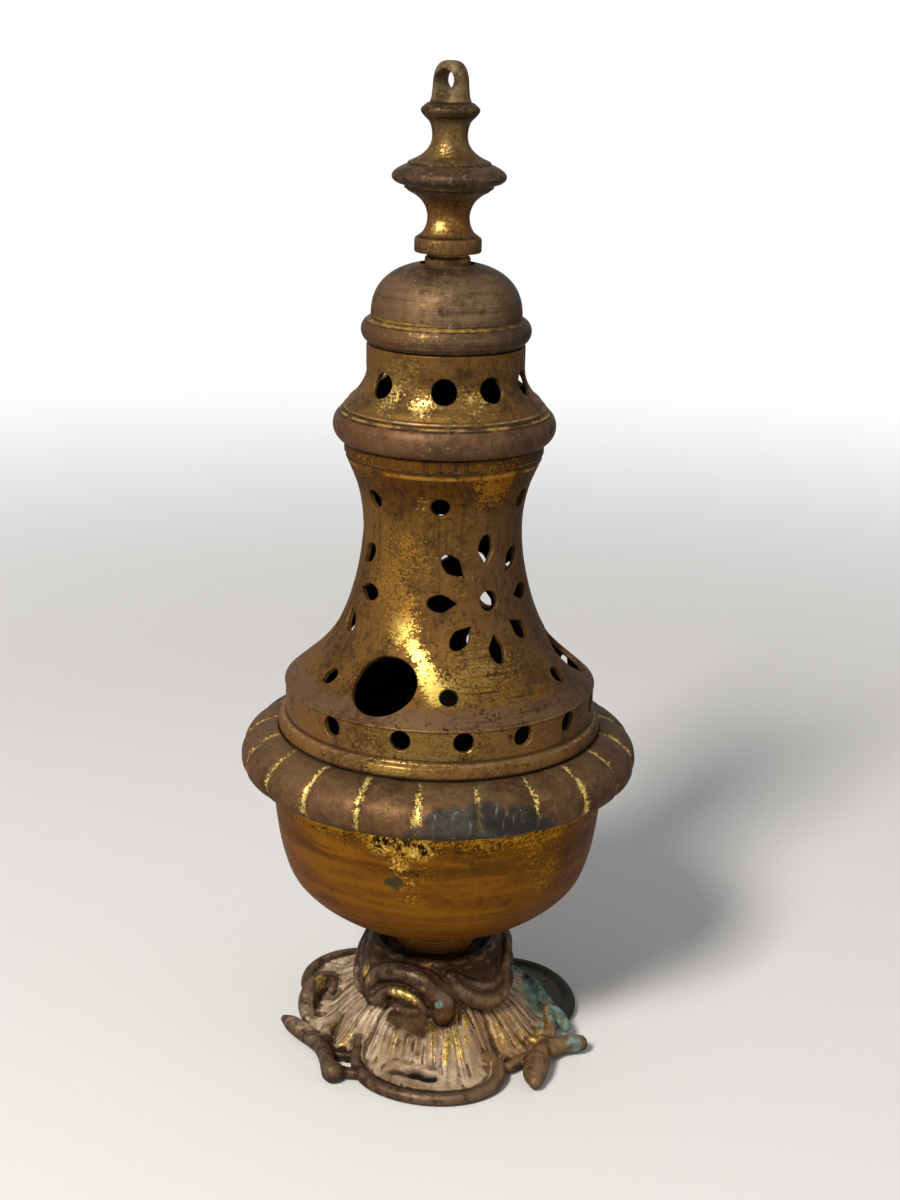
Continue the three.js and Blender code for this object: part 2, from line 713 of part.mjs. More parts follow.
function turret() {
  const torusMiddle = turretBottom + torusHeight - touchGap - 3.4;
  const torusCentre = torusReach - torusRadius;
  const skirt = turretBottom + torusHeight + 2;
  const torus = arc(torusCentre, torusMiddle, torusRadius, -56, 58, 4);
  const flare = smoothCurve([
    at(skirtRadius, skirt), at(turretRadius + (skirtRadius - turretRadius) * 0.5, skirt + turretFlare * 0.3),
    at(turretRadius + 0.35, skirt + turretFlare * 0.74), at(turretRadius, skirt + turretFlare),
  ], 3);
  const outside = [
    ...torus,
    at(skirtRadius + 0.7, skirt - skirtDrop - 0.4),
    at(skirtRadius, skirt - skirtDrop),
    ...flare,
    at(turretRadius, turretTop),
  ];
  const body = turned([
    at(turretSpigotRadius - sheet, turretBottom - turretSpigot),
    at(turretSpigotRadius, turretBottom - turretSpigot),
    at(turretSpigotRadius, turretBottom),
    at(torus[0].x - 0.3, turretBottom),
    ...outside,
    at(turretRadius - sheet, turretTop),
    at(turretRadius - sheet, skirt + turretFlare),
    at(skirtRadius - 3.4, skirt + 1),
    at(torusCentre + 1.6, torusMiddle + 2),
    at(torusCentre + 1.6, torusMiddle - 1.6),
    at(turretSpigotRadius - sheet, turretBottom),
  ], narrowFacets);
  const height = turretBottom + turretHoleHeight;
  const wall = profileAt(outside, height);
  return cutAll(body, turretHoleAzimuths.map((azimuth) =>
    squareToWall(drill(turretHoleRadius, 4 * sheet, smallHoleFacets + 1), azimuth, wall, height)));
}

// The dome's wall is squarer than a half ellipse
function domeHeightAt(radius, wall) {
  const share = radius / (domeRadius - wall);
  return domeBottom + (domeRise - wall) * (1 - share ** domeSquareness) ** (1 / domeSquareness);
}

function domeCurve(wall, steps) {
  const inner = domeHoleRadius / (domeRadius - wall);
  return Array.from({ length: steps + 1 }, (_, step) => {
    const turn = THREE.MathUtils.lerp(0, Math.acos(inner ** (domeSquareness / 2)), step / steps);
    const radius = (domeRadius - wall) * Math.cos(turn) ** (2 / domeSquareness);
    return at(radius, domeHeightAt(radius, wall));
  });
}

function domeCap() {
  const torusCentre = capTorusReach - capTorusRadius;
  const torusMiddle = capBottom + capTorusHeight * 0.52;
  return turned([
    at(capSpigotRadius - sheet, capBottom - capSpigot),
    at(capSpigotRadius, capBottom - capSpigot),
    at(capSpigotRadius, capBottom),
    at(torusCentre + 1.9, capBottom),
    ...arc(torusCentre, torusMiddle, capTorusRadius, -52, 52, 4),
    at(domeRadius + 0.9, domeBottom - 0.2),
    ...domeCurve(0, 5),
    ...domeCurve(sheet, 3).reverse(),
    at(capSpigotRadius - sheet, capBottom + 2),
  ], narrowFacets);
}

const domeWasherTop = domeHeightAt(domeWasherRadius, sheet) - touchGap;
const domeWasherBottom = domeWasherTop - domeWasherThickness;
const finialNutBottom = domeWasherBottom - touchGap - finialNutHeight;

function domeWasher() {
  return ring(tangHoleRadius, domeWasherRadius, domeWasherBottom, domeWasherTop, slimFacets);
}

function finialSpacer() {
  const bottom = domeWasherTop + touchGap;
  const top = finialBottom - touchGap;
  return turned([
    at(tangHoleRadius, bottom),
    at(spacerRadius, bottom),
    at(spacerRadius, top - spacerNeckHeight),
    at(spacerNeckRadius, top - spacerNeckHeight),
    at(spacerNeckRadius, top),
    at(tangHoleRadius, top),
  ], slimFacets);
}

function finialNut() {
  return hexNut(finialNutAcross, finialNutHeight, tangHoleRadius, finialNutBottom);
}

function finial() {
  const level = (height) => finialBottom + height;
  const stem = turned([
    at(0, finialNutBottom - tangTail),
    at(tangRadius, finialNutBottom - tangTail),
    at(tangRadius, level(0)),
    at(collarRadius, level(0)),
    at(collarRadius, level(collarHeight)),
    ...smoothCurve([
      at(collarRadius - 1, level(collarHeight + 0.8)), at(lowNeckRadius + 0.5, level(lowNeckHeight - 2.2)),
      at(lowNeckRadius, level(lowNeckHeight)), at(lowNeckRadius + 1.2, level(discHeight - 5.2)),
      at(discUnderRadius - 0.6, level(discHeight - 3.2)),
    ], 7),
    at(discUnderRadius, level(discHeight - 2.5)),
    at(discRadius - 1, level(discHeight - 1.3)),
    at(discRadius, level(discHeight)),
    at(discRadius - 1, level(discHeight + 1.5)),
    at(discStepRadius, level(discHeight + 3)),
    at(discStepRadius - 0.4, level(discHeight + 3.4)),
    ...smoothCurve([
      at(discStepRadius - 2.2, level(discHeight + 4.4)), at(highNeckRadius + 0.6, level(highNeckHeight - 2)),
      at(highNeckRadius, level(highNeckHeight)), at(highNeckRadius + 0.6, level(knopHeight - 3.2)),
      at(knopRadius - 0.5, level(knopHeight - 1)),
    ], 7),
    at(knopRadius, level(knopHeight)),
    at(knopRadius - 0.6, level(knopHeight + 1.2)),
    at(eyeThickness / 2 + 1, level(knopHeight + 2)),
    at(0, level(knopHeight + 2)),
  ], slimFacets);
  const shank = turned([
    at(0, level(knopHeight)),
    at(eyeWidth / 2 + 0.3, level(knopHeight)),
    at(eyeWidth / 2, level(eyeHeight - 2)),
    at(eyeWidth * 0.46, level(eyeHeight + 1)),
    at(eyeWidth * 0.36, level(eyeTop - 1.3)),
    at(eyeWidth * 0.18, level(eyeTop - 0.3)),
    at(0, level(eyeTop)),
  ], slimFacets).scale([1, eyeThickness / eyeWidth, 1]);
  const bore = solid(new THREE.CylinderGeometry(eyeRadius, eyeRadius, 3 * eyeWidth, 12));
  const eye = shank.subtract(bore.translate([0, 0, level(eyeHeight)])).rotate([0, 0, eyeAzimuth]);
  return stem.add(eye);
}

// Finishes
const finish = (color, roughness, metalness) => new THREE.MeshStandardMaterial({ color, roughness, metalness });
const wornGilt = finish(0x9a6f28, 0.42, 0.9);
const wornGiltBowl = finish(0x9c6a20, 0.4, 0.9);
const brownBronze = finish(0x5e4632, 0.5, 0.85);
const castBronze = finish(0x6d553c, 0.55, 0.8);
const sootyIron = finish(0x2b2724, 0.8, 0.6);
const plainBrass = finish(0x8a6a34, 0.5, 0.85);

const thurible = new THREE.Group();

function add(name, body, material) {
  const mesh = new THREE.Mesh(geometryOf(body), material);
  mesh.name = name;
  thurible.add(mesh);
}

add("foot_casting", footCasting(), castBronze);
add("foot_nut", footNut(), plainBrass);
add("foot_washer", footWasher(), plainBrass);
add("tie_bolt", tieBolt(), plainBrass);
add("stem_boss", stemBoss(), wornGiltBowl);
add("bowl", bowl(), wornGiltBowl);
add("gadroon_rim", gadroonRim(), brownBronze);
add("fire_pan", firePan(), sootyIron);
add("cover_bell", coverBell(), wornGilt);
add("turret", turret(), wornGilt);
add("dome_cap", domeCap(), brownBronze);
add("dome_washer", domeWasher(), plainBrass);
add("finial_spacer", finialSpacer(), plainBrass);
add("finial_nut", finialNut(), plainBrass);
add("finial", finial(), castBronze);

export default thurible;
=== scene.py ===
# %% [markdown]
# # A worn gilt censer over its CAD frame
# The imported CAD model gives every piece its place and size. This script puts a finely shaped and
# finished piece over each of its plain ones but the bolts, nuts and washers, which get a plain brass
# finish. Lengths in the outlines are millimetres, and Blender's own unit here is the metre, so every
# outline is turned into metres once, where its mesh is made.

# %% Load the frame
import math
from functools import reduce

import bpy
import numpy as np
from mathutils import Matrix, Vector


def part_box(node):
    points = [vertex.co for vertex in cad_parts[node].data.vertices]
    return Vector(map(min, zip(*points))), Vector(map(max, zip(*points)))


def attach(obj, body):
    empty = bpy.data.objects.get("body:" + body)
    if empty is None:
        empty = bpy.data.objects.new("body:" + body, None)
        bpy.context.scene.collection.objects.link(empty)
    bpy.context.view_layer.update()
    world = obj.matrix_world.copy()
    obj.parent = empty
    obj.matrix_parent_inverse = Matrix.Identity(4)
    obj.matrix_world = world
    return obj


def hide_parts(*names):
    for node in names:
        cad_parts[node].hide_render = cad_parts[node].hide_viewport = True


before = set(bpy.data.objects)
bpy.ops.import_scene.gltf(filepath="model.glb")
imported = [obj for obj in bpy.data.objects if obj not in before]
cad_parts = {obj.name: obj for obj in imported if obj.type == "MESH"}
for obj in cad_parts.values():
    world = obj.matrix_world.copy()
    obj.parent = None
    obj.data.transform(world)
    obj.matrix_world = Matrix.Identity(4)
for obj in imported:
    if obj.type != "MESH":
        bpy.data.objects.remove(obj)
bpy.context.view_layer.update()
mm = 0.001

# %% [markdown]
# ## Levels
# Each piece stands on the CAD node that it replaces, so its outline starts at that node's lowest
# point. Places round the axis are given as an azimuth in degrees and a radius.

# %% Levels
def levels(node):
    return [corner.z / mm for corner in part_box(node)]


def around(azimuth, radius):
    """X and Y of a point: azimuth 0 is towards the viewer, and 90 degrees to the right."""
    turn = np.radians(azimuth)
    return radius * np.sin(turn), -radius * np.cos(turn)


def azimuth_of(x, y):
    return np.degrees(np.arctan2(x, -y))


print({node: np.round(levels(node), 2).tolist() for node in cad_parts})

# %% [markdown]
# ## Outlines
# A turned piece is known by its outline, as on a lathe. A sweep runs smoothly through a few measured
# points, a bead is part of a circle, and a wall is the same outline moved inwards by its thickness.

# %% Outlines
def reaches(points):
    """How far along the line each point is."""
    return np.concatenate([[0], np.cumsum(np.linalg.norm(np.diff(points, axis=0), axis=1))])


def sweep(points, steps):
    points = np.array(points, float)
    reach = reaches(points)
    slopes = np.gradient(points, reach, axis=0)
    places = np.linspace(0, reach[-1], steps + 1)
    before = np.clip(np.searchsorted(reach, places, side="right") - 1, 0, len(points) - 2)
    span = (reach[before + 1] - reach[before])[:, None]
    share = (places - reach[before])[:, None] / span
    left = 1 - share
    return (left**2 * (1 + 2 * share) * points[before] + left**2 * share * span * slopes[before]
            + share**2 * (3 - 2 * share) * points[before + 1]
            - share**2 * left * span * slopes[before + 1]).tolist()


def bead(radius, height, size, first, last, steps):
    turns = np.radians(np.linspace(first, last, steps + 1))
    return np.column_stack([radius + size * np.cos(turns), height + size * np.sin(turns)]).tolist()


def inner_wall(outline, thickness):
    points = np.array(outline)
    along = np.gradient(points, axis=0)
    along /= np.linalg.norm(along, axis=1)[:, None]
    return (points + thickness * np.column_stack([-along[:, 1], along[:, 0]]))[::-1].tolist()


def raised(outline, height):
    return [(radius, level + height) for radius, level in outline]


# %% [markdown]
# ## Turning
# The outline is a ring of vertices in the XZ plane. Its sharp corners are bevelled as a file would
# take them off, and the spin operator turns it round the axis. The alternative is a screw modifier,
# but the operator leaves a plain mesh at once. Doubles are merged before the normals are put right.

# %% Small tools
def alone(*pieces):
    """Selects these pieces only, the first of them as the active one."""
    bpy.ops.object.select_all(action="DESELECT")
    for piece in pieces:
        piece.select_set(True)
    bpy.context.view_layer.objects.active = pieces[0]


def joined(pieces):
    alone(*pieces)
    bpy.ops.object.join()
    return bpy.context.object


def modified(piece, kind, **settings):
    """Adds a modifier with these settings and applies it."""
    alone(piece)
    modifier = piece.modifiers.new(kind.lower(), kind)
    for name, value in settings.items():
        setattr(modifier, name, value)
    bpy.ops.object.modifier_apply(modifier=modifier.name)


def cut(piece, cutter, how="DIFFERENCE"):
    modified(piece, "BOOLEAN", operation=how, solver="MANIFOLD", object=cutter)
    bpy.data.objects.remove(cutter)


def smooth_under(degrees):
    bpy.ops.object.shade_smooth_by_angle(angle=math.radians(degrees))


def edit(select_by, choice):
    bpy.ops.object.mode_set(mode="EDIT")
    bpy.ops.mesh.select_mode(type=select_by)
    bpy.ops.mesh.select_all(action=choice)


def read_vertices(piece):
    """The places and normals of all vertices."""
    rows = []
    for name in ("co", "normal"):
        values = np.empty(len(piece.data.vertices) * 3)
        piece.data.vertices.foreach_get(name, values)
        rows.append(values.reshape(-1, 3))
    return rows


def move_vertices(piece, spots):
    piece.data.vertices.foreach_set("co", spots.ravel())
    piece.data.update()


def facts(piece):
    edit("VERT", "DESELECT")
    bpy.ops.mesh.select_non_manifold()
    bpy.ops.object.mode_set(mode="OBJECT")
    loose = sum(vertex.select for vertex in piece.data.vertices)
    triangles = sum(len(face.vertices) - 2 for face in piece.data.polygons)
    heights = [vertex.co.z / mm for vertex in piece.data.vertices]
    print(f"{piece.name}: {triangles} triangles, {loose} open vertices, "
          f"z {min(heights):.2f} to {max(heights):.2f}")


# %% Turning
def turned(name, outline, steps=180, softness=0.16):
    """Spins an outline. A vertex with a bend of over 24 degrees is bevelled by the softness."""
    points = np.array(outline, float)
    on_axis = points[0, 0] == 0 and points[-1, 0] == 0
    bpy.ops.object.select_all(action="DESELECT")
    bpy.ops.mesh.primitive_circle_add(vertices=len(points), radius=mm)
    piece = bpy.context.object
    piece.name = piece.data.name = name
    before = points - np.roll(points, 1, axis=0)
    after = np.roll(points, -1, axis=0) - points
    ways = np.arctan2(after[:, 1], after[:, 0]) - np.arctan2(before[:, 1], before[:, 0])
    turn = np.abs(np.angle(np.exp(1j * ways)))
    edit("VERT", "DESELECT")
    bpy.ops.object.mode_set(mode="OBJECT")
    for vertex, (radius, height), bend in zip(piece.data.vertices, points, turn):
        vertex.co = (radius * mm, 0, height * mm)
        vertex.select = bool(bend > math.radians(24) and radius > 0)
    bpy.ops.object.mode_set(mode="EDIT")
    bpy.ops.mesh.bevel(offset=softness * mm, segments=3, affect="VERTICES", clamp_overlap=True)
    if on_axis:
        bpy.ops.mesh.select_all(action="DESELECT")
        bpy.ops.object.mode_set(mode="OBJECT")
        for vertex in piece.data.vertices:
            vertex.select = vertex.co.x < 1e-9
        bpy.ops.object.mode_set(mode="EDIT")
        bpy.ops.mesh.select_mode(type="EDGE")
        bpy.ops.mesh.delete(type="EDGE")
    bpy.ops.mesh.select_all(action="SELECT")
    bpy.ops.mesh.spin(steps=steps, angle=math.tau, center=(0, 0, 0), axis=(0, 0, 1))
    bpy.ops.mesh.select_all(action="SELECT")
    bpy.ops.mesh.remove_doubles(threshold=2e-6)
    bpy.ops.mesh.normals_make_consistent(inside=False)
    bpy.ops.object.mode_set(mode="OBJECT")
    smooth_under(32)
    facts(piece)
    return piece


def dressed(piece, body, slot, *nodes):
    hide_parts(*nodes)
    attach(piece, body)


# %% [markdown]
# ## Holes
# Each hole was drilled or filed through the finished wall, and its edge was broken with a file. The
# cutter is a disc, extruded through the wall and widened at the outside. A copy of it is then wrapped
# onto the wall, so that the bright edge is equally wide all round, even on the flare.

# %% Holes
drill_levels = [(-4.2, 0), (-0.22, 0), (0.2, 0.40), (3.2, 0.40)]


def drill(name, half_width, half_length, sides, shape=None):
    bpy.ops.object.select_all(action="DESELECT")
    bpy.ops.mesh.primitive_circle_add(vertices=sides, radius=1, fill_type="NGON",
                                      location=(0, 0, drill_levels[0][0]))
    tool = bpy.context.object
    tool.name = tool.data.name = name
    bpy.ops.object.transform_apply(location=True, rotation=False, scale=False)
    for vertex in tool.data.vertices:
        x, y = vertex.co.x * half_width, vertex.co.y * half_length
        vertex.co.x, vertex.co.y = shape(x, y) if shape else (x, y)
    edit("FACE", "SELECT")
    for (low, narrow), (high, wide) in zip(drill_levels, drill_levels[1:]):
        bpy.ops.mesh.extrude_region_move(TRANSFORM_OT_translate={"value": (0, 0, high - low)})
        if wide > narrow:
            bpy.ops.transform.resize(center_override=(0, 0, 0),
                                     value=(1 + wide / half_width, 1 + wide / half_length, 1))
    bpy.ops.mesh.select_all(action="SELECT")
    bpy.ops.mesh.normals_make_consistent(inside=False)
    bpy.ops.object.mode_set(mode="OBJECT")
    for face in tool.data.polygons:
        face.material_index = 2 if drill_levels[1][0] < face.center.z < drill_levels[2][0] else 1
    return tool


def wrapped(tool, wall, azimuth, height, turn=0):
    wall = np.array(wall)
    reach = reaches(wall)
    along = np.gradient(wall, reach, axis=0)
    start = np.interp(height, wall[:, 1], reach)
    copy = bpy.data.objects.new(f"{tool.name}_{azimuth:.0f}_{height:.0f}", tool.data.copy())
    bpy.context.collection.objects.link(copy)
    spin = math.radians(turn)
    for vertex in copy.data.vertices:
        x = vertex.co.x * math.cos(spin) - vertex.co.y * math.sin(spin)
        y = vertex.co.x * math.sin(spin) + vertex.co.y * math.cos(spin)
        place = start + y
        radius, level = (np.interp(place, reach, wall[:, k]) for k in (0, 1))
        rise, run = (np.interp(place, reach, along[:, k]) for k in (1, 0))
        angle = math.radians(azimuth) + x / radius
        out = radius + rise * vertex.co.z
        vertex.co = (out * math.sin(angle) * mm, -out * math.cos(angle) * mm,
                     (level - run * vertex.co.z) * mm)
    return copy


def pierce(piece, cutters, tools):
    for tool in tools:
        bpy.data.objects.remove(tool)
    cutter = joined(cutters)
    for part in (piece, cutter):
        while len(part.data.materials) < 3:
            part.data.materials.append(None)
    cut(piece, cutter)
    smooth_under(24)
    facts(piece)
    places = [face.material_index for face in piece.data.polygons]
    print("outside, inside and filed faces:", [places.count(k) for k in range(3)])


def sooty_inside(piece, wall, depth=0.6):
    """Everything that lies deeper than this inside the outer wall is sooty."""
    radii, heights = np.array(wall).T
    for face in piece.data.polygons:
        outside = np.interp(face.center.z / mm, heights, radii)
        if math.hypot(face.center.x, face.center.y) / mm < outside - depth:
            face.material_index = 1


# %% [markdown]
# ## The bowl
# A spun bowl, almost a hemisphere with upright walls near the rim. It hangs under the lobed rim, and a
# low drum under its middle sits on the boss.

# %% Bowl
sheet = 1.3
bowl_low, bowl_high = levels("bowl")
bowl_curve = [(9.8, 0), (14.5, 0.12), *sweep([
    (16.2, 0.35), (18.3, 0.95), (19.9, 2.4), (22.1, 4.4), (24.7, 6.4), (27.5, 8.4), (30.5, 10.5),
    (33.2, 12.6), (35.5, 14.8), (37.3, 17.0), (38.6, 19.5), (39.6, 22.5), (40.5, 26.0), (41.2, 30.0),
    (41.8, 34.5), (42.2, 40.0), (42.35, 46.0), (42.35, bowl_high - bowl_low)], 64)]
bowl_outside = [
    (9.8, 0), (10.6, 0.1), (10.85, 0.4), (10.85, 1.1), (11.3, 1.45), (13, 2.0), (15.5, 2.95),
    (18, 4.0), (20.2, 5.0), (22.3, 6.0), (24.7, 7.2), *[point for point in bowl_curve if point[1] > 8.6]]
bowl_inside = [point for point in inner_wall(bowl_curve, sheet) if point[0] > 25.5]
bowl_inside += [(24, 8.1), (21.7, 7.1), (19.6, 6.15), (17.4, 5.15), (14.9, 4.1), (12.5, 3.25),
                (11, 2.7), (10, 2.1), (9.4, sheet)]
bowl = turned("spun_bowl", raised(
    [(3.3, 0), *bowl_outside, (42.35 - sheet, bowl_high - bowl_low), *bowl_inside[1:], (3.3, sheet)],
    bowl_low), steps=200)
sooty_inside(bowl, raised(bowl_outside, bowl_low))
dressed(bowl, "base", "bowl_gilt", "bowl")

# %% [markdown]
# ## The boss
# A short turned drum between foot and bowl, with a rounded top bead.

# %% Boss
boss_low, boss_high = levels("stem_boss")
tall = boss_high - boss_low
boss = turned("turned_boss", raised([
    (3.3, 0), (8.5, 0), (8.5, tall - 6.2),
    *sweep([(8.5, tall - 6), (9, tall - 5), (10.1, tall - 4.2)], 8),
    (10.4, tall - 3.8), (10.4, tall - 1.3), *bead(10, tall - 0.75, 0.5, -40, 60, 6),
    (9.9, tall), (3.3, tall)], boss_low), steps=120)
dressed(boss, "base", "brown_bronze", "stem_boss")

# %% [markdown]
# ## The lobed rim
# Twenty-one rounded lobes with a narrow groove between each two. The ring is turned first, and then the
# vertices between two lobes move inwards. The grooves are shallow, and run out at the lower edge.

# %% Lobed rim
lobes, first_groove, groove_depth, groove_drop = 21, -5.5, 1.15, 0.45
rim_top = levels("gadroon_rim")[1]
rim = turned("lobed_rim", raised([
    (39.6, -2.6), (39.6, -1.3), (41.1, -1.3), (41.1, 0),
    *sweep([(41.9, 0), (43.4, -0.25), (45.6, -1.1), (47.6, -2.5), (49.2, -4.1), (50.15, -6),
            (50.45, -8), (50.1, -9.8), (49, -11.1), (47.6, -11.9), (46.6, -11.75)], 44),
    (45.4, -10.6), (42.75, -8.3), (42.75, -2.6)], rim_top), steps=480)
for vertex in rim.data.vertices:
    radius = math.hypot(vertex.co.x, vertex.co.y)
    across = abs(((azimuth_of(vertex.co.x, vertex.co.y) - first_groove) * lobes / 360) % 1 * 2 - 1)
    depth = 1 - (1 - across**4.5) ** 0.5
    weight = min(max((radius / mm - 42.2) / 2.6, 0), 1)
    weight *= 0.45 + 0.55 * min(max((vertex.co.z / mm - rim_top + 11.5) / 3, 0), 1)
    inwards = 1 - groove_depth * mm * depth * weight / radius
    drop = groove_drop if vertex.co.z > (rim_top - 8) * mm else -0.4 * groove_drop
    vertex.co.x *= inwards
    vertex.co.y *= inwards
    vertex.co.z -= drop * mm * depth * weight
dressed(rim, "base", "brown_bronze", "gadroon_rim")

# %% [markdown]
# ## The fire pan
# A thin spun pan with a turned-out lip, black from the charcoal. It shows through the smoke holes and
# when the cover is lifted.

# %% Fire pan
pan_low, pan_high = levels("fire_pan")
pan_tall = pan_high - pan_low
pan_wall = [
    (0, 0), (26, 0), *sweep([(27.5, 0.15), (33.7, 4), (37.5, 10), (39.1, 20)], 26),
    (39.1, pan_tall - 1)]
pan = turned("iron_pan", raised(
    [*pan_wall, (40.8, pan_tall - 1), (40.8, pan_tall), (37.8, pan_tall),
     *inner_wall(pan_wall, sheet)[1:-1], (0, sheet)], pan_low), steps=160)
dressed(pan, "pan", "sooty_iron", "fire_pan")

# %% [markdown]
# ## The pierced bell
# The cover's body: a flange that rests on the rim, a drilled band, and a flare up to the neck.

# %% Bell outline
rest = levels("cover_bell")[0] + 3.2
flare = sweep([
    (38.95, 12.1), (38.3, 12.7), (35.3, 15.3), (32.13, 18.1), (29.2, 21.2), (26.62, 24.7),
    (23.62, 31.2), (21.2, 39.7), (20.05, 46.5), (19.75, 51.0), (19.85, 55.2), (20.45, 59.4),
    (21.5, 63.4), (22.7, 66.4), (24.1, 69.6)], 84)
bell_outside = [(39.1, 4.1), (39.1, 7.5), (39.1, 11.2), *bead(38.85, 11.6, 0.45, -40, 60, 5), *flare]
bell_wall = raised(bell_outside, rest)
bell = turned("pierced_bell", raised([
    (36, -3.2), (37.3, -3.2), (37.3, 0), (41, 0), (40.95, 1.3), (40.5, 2.7), (40, 3.1), (39.5, 3.3),
    *bell_outside, (24.1, 70.6), (24.5, 70.9), (24.5, 73.3), (23.2, 73.3), (23.2, 70.2),
    *inner_wall(flare, sheet), (37.8, 10.8), (37.8, 4.6), (36, 2.6)], rest), steps=220)
sooty_inside(bell, bell_wall)

# %% Bell holes
petal_wide, petal_high = 2.15, 3.8


def petal(x, y):
    """Bends the oval to a petal, round outwards and pointed towards the rosette's middle."""
    share = y / petal_high
    waist = petal_wide * (0.62 + 0.38 * min(1, (share + 1) * 1.2)) if share > -0.97 else 0
    return x / petal_wide * min(waist, petal_wide * (share + 1.05) ** 0.8), y


band_drill = drill("band_drill", 2.5, 2.5, 24)
low_drill = drill("low_drill", 2.3, 2.3, 24)
high_drill = drill("high_drill", 2.4, 2.4, 24)
smoke_drill = drill("smoke_drill", 8.25, 8.0, 48)
petal_file = drill("petal_file", petal_wide, petal_high, 28, petal)
rosette_height, petal_reach = rest + 37.8, 12
places = [(band_drill, -13.5 + 22.4 * k, rest + 8.8) for k in range(13)]
places.append((band_drill, -41.4, rest + 8.8))
places += [(smoke_drill, -25.5 + 120 * k, rest + 18.8) for k in range(3)]
places += [(low_drill, 4 + 60 * k, rest + 17.9) for k in range(6)]
places += [(high_drill, azimuth, rest + 61.2) for azimuth in (-52, -1.5, 66, 124, 184, 246)]
for middle in (32.5, 152.5, 272.5):
    places.append((band_drill, middle, rosette_height))
    for turn in np.arange(8) * math.tau / 8:
        rise, side = petal_reach * math.cos(turn), petal_reach * math.sin(turn)
        height = rosette_height + rise * (0.92 if rise < 0 else 1.02)
        radius = np.interp(height, *np.array(bell_wall).T[::-1])
        places.append((petal_file, middle + math.degrees(side / radius), height, -math.degrees(turn)))
cutters = [wrapped(tool, bell_wall, *place) for tool, *place in places]
pierce(bell, cutters, [band_drill, low_drill, high_drill, smoke_drill, petal_file])
dressed(bell, "cover", "worn_gilt", "cover_bell")

# %% [markdown]
# ## The turret
# A heavy torus moulding, a step, a short hollow flare and a holed drum.

# %% Turret
turret_low, turret_high = levels("turret")
seat = turret_low + 2.9
turret_tall = turret_high - seat
torus = bead(22.8, 3.85, 4.5, -58, 49, 26)
drum = [
    (24.9, 8.1), (24.6, 8.75),
    *sweep([(24.1, 8.9), (23.6, 9.9), (21.7, 11.7), (20.2, 14), (19.5, 15.9), (19.25, 18)], 22),
    (19.25, turret_tall - 0.2)]
turret = turned("holed_turret", raised([
    (21.6, -2.9), (22.9, -2.9), (22.9, 0), (25.1, 0), *torus, (25.2, 7.35), (25.3, 7.8), *drum,
    (19.0, turret_tall), (17.95, turret_tall), (17.95, 17), (20.6, 11.2), (24.3, 6), (24.3, 2),
    (21.6, 0)], seat), steps=200)
sooty_inside(turret, raised(torus[:12] + torus[-1:] + drum, seat))
turret_drill = drill("turret_drill", 3.1, 3.1, 28)
pierce(turret, [wrapped(turret_drill, raised(drum, seat), azimuth, seat + 15.2)
                for azimuth in (-49, -0.5, 34, 72.5, 113, 154, 195, 233, 272)], [turret_drill])
dressed(turret, "cover", "worn_gilt", "turret")

# %% [markdown]
# ## The domed cap
# A second, smaller torus and a dome that is a little squarer than half a ball.

# %% Domed cap
cap_seat = levels("dome_cap")[0] + 2.8


def dome(radius, rise, hole, steps):
    turns = np.linspace(0, math.acos((hole / radius) ** 1.25), steps + 1)
    radii = radius * np.cos(turns) ** 0.8
    return np.column_stack([radii, 5.9 + rise * (1 - (radii / radius) ** 2.5) ** 0.4]).tolist()


cap = turned("domed_cap", raised([
    (16.35, -2.8), (17.65, -2.8), (17.65, 0), (19.1, 0), *bead(17.3, 3.07, 3.3, -55, 46, 22),
    (19.3, 5.55), (19.05, 5.85), *dome(18.3, 13.5, 6.6, 30), *dome(17, 12.2, 6.6, 24)[::-1],
    (16.35, 2)], cap_seat), steps=180)
sooty_inside(cap, raised([(19.1, 0), (20.6, 3.1), *dome(18.3, 13.5, 6.6, 30)], cap_seat))
dressed(cap, "cover", "brown_bronze", "dome_cap")

# %% [markdown]
# ## Spacer and finial
# The finial is turned from one bar: collar, neck, sharp disc, neck and knop, with the chain eye on top.

# %% Spacer
spacer_low, spacer_high = levels("finial_spacer")
spacer_tall = spacer_high - spacer_low
spacer = turned("spacer_ring", raised([
    (2.7, 0), (5.5, 0), (5.5, spacer_tall - 1.2), (5.2, spacer_tall - 0.7), (5, spacer_tall - 0.6),
    (5, spacer_tall), (2.7, spacer_tall)], spacer_low), steps=96)
dressed(spacer, "cover", "plain_brass", "finial_spacer")

# %% Finial
fin_base = spacer_high + 0.3
tang_end = levels("finial")[0] - fin_base
fin = turned("turned_finial", raised([
    (0, tang_end), (2.4, tang_end), (2.4, 0), (7.9, 0), (8.05, 0.4), (8.05, 2.7), (7.9, 3.3),
    (7.5, 3.6),
    *sweep([(7.2, 3.8), (6.3, 4.5), (5.5, 5.8), (5.1, 7.3), (5.05, 8.6), (5.45, 10.2), (6.5, 12),
            (8.2, 13.4), (9.8, 14.3), (10.2, 14.7)], 30),
    (10.6, 14.9), (10.6, 15.4),
    *sweep([(10.9, 15.6), (12.6, 16.2), (13.45, 17), (13.6, 17.7), (13.3, 18.4), (12.4, 19.2),
            (11, 20)], 18),
    (10, 20.4), (9.9, 20.7), (9.5, 21.1),
    *sweep([(9.2, 21.2), (7.7, 21.9), (6.2, 22.9), (5, 24.2), (4.35, 25.6), (4.2, 27), (4.35, 28.4),
            (4.9, 30), (5.95, 31.1), (6.5, 31.7)], 30),
    *bead(5.95, 32.65, 1.0, -58, 62, 12),
    (5.9, 34.0), (5.3, 34.4), (4.3, 34.6), (0, 34.7)], fin_base), steps=120)

# %% [markdown]
# The chain eye was filed flat from the same bar, a little oblique to the viewer, and its hole was
# countersunk from both sides. So it is a turned blank pressed flat, joined to the knop, and bored.

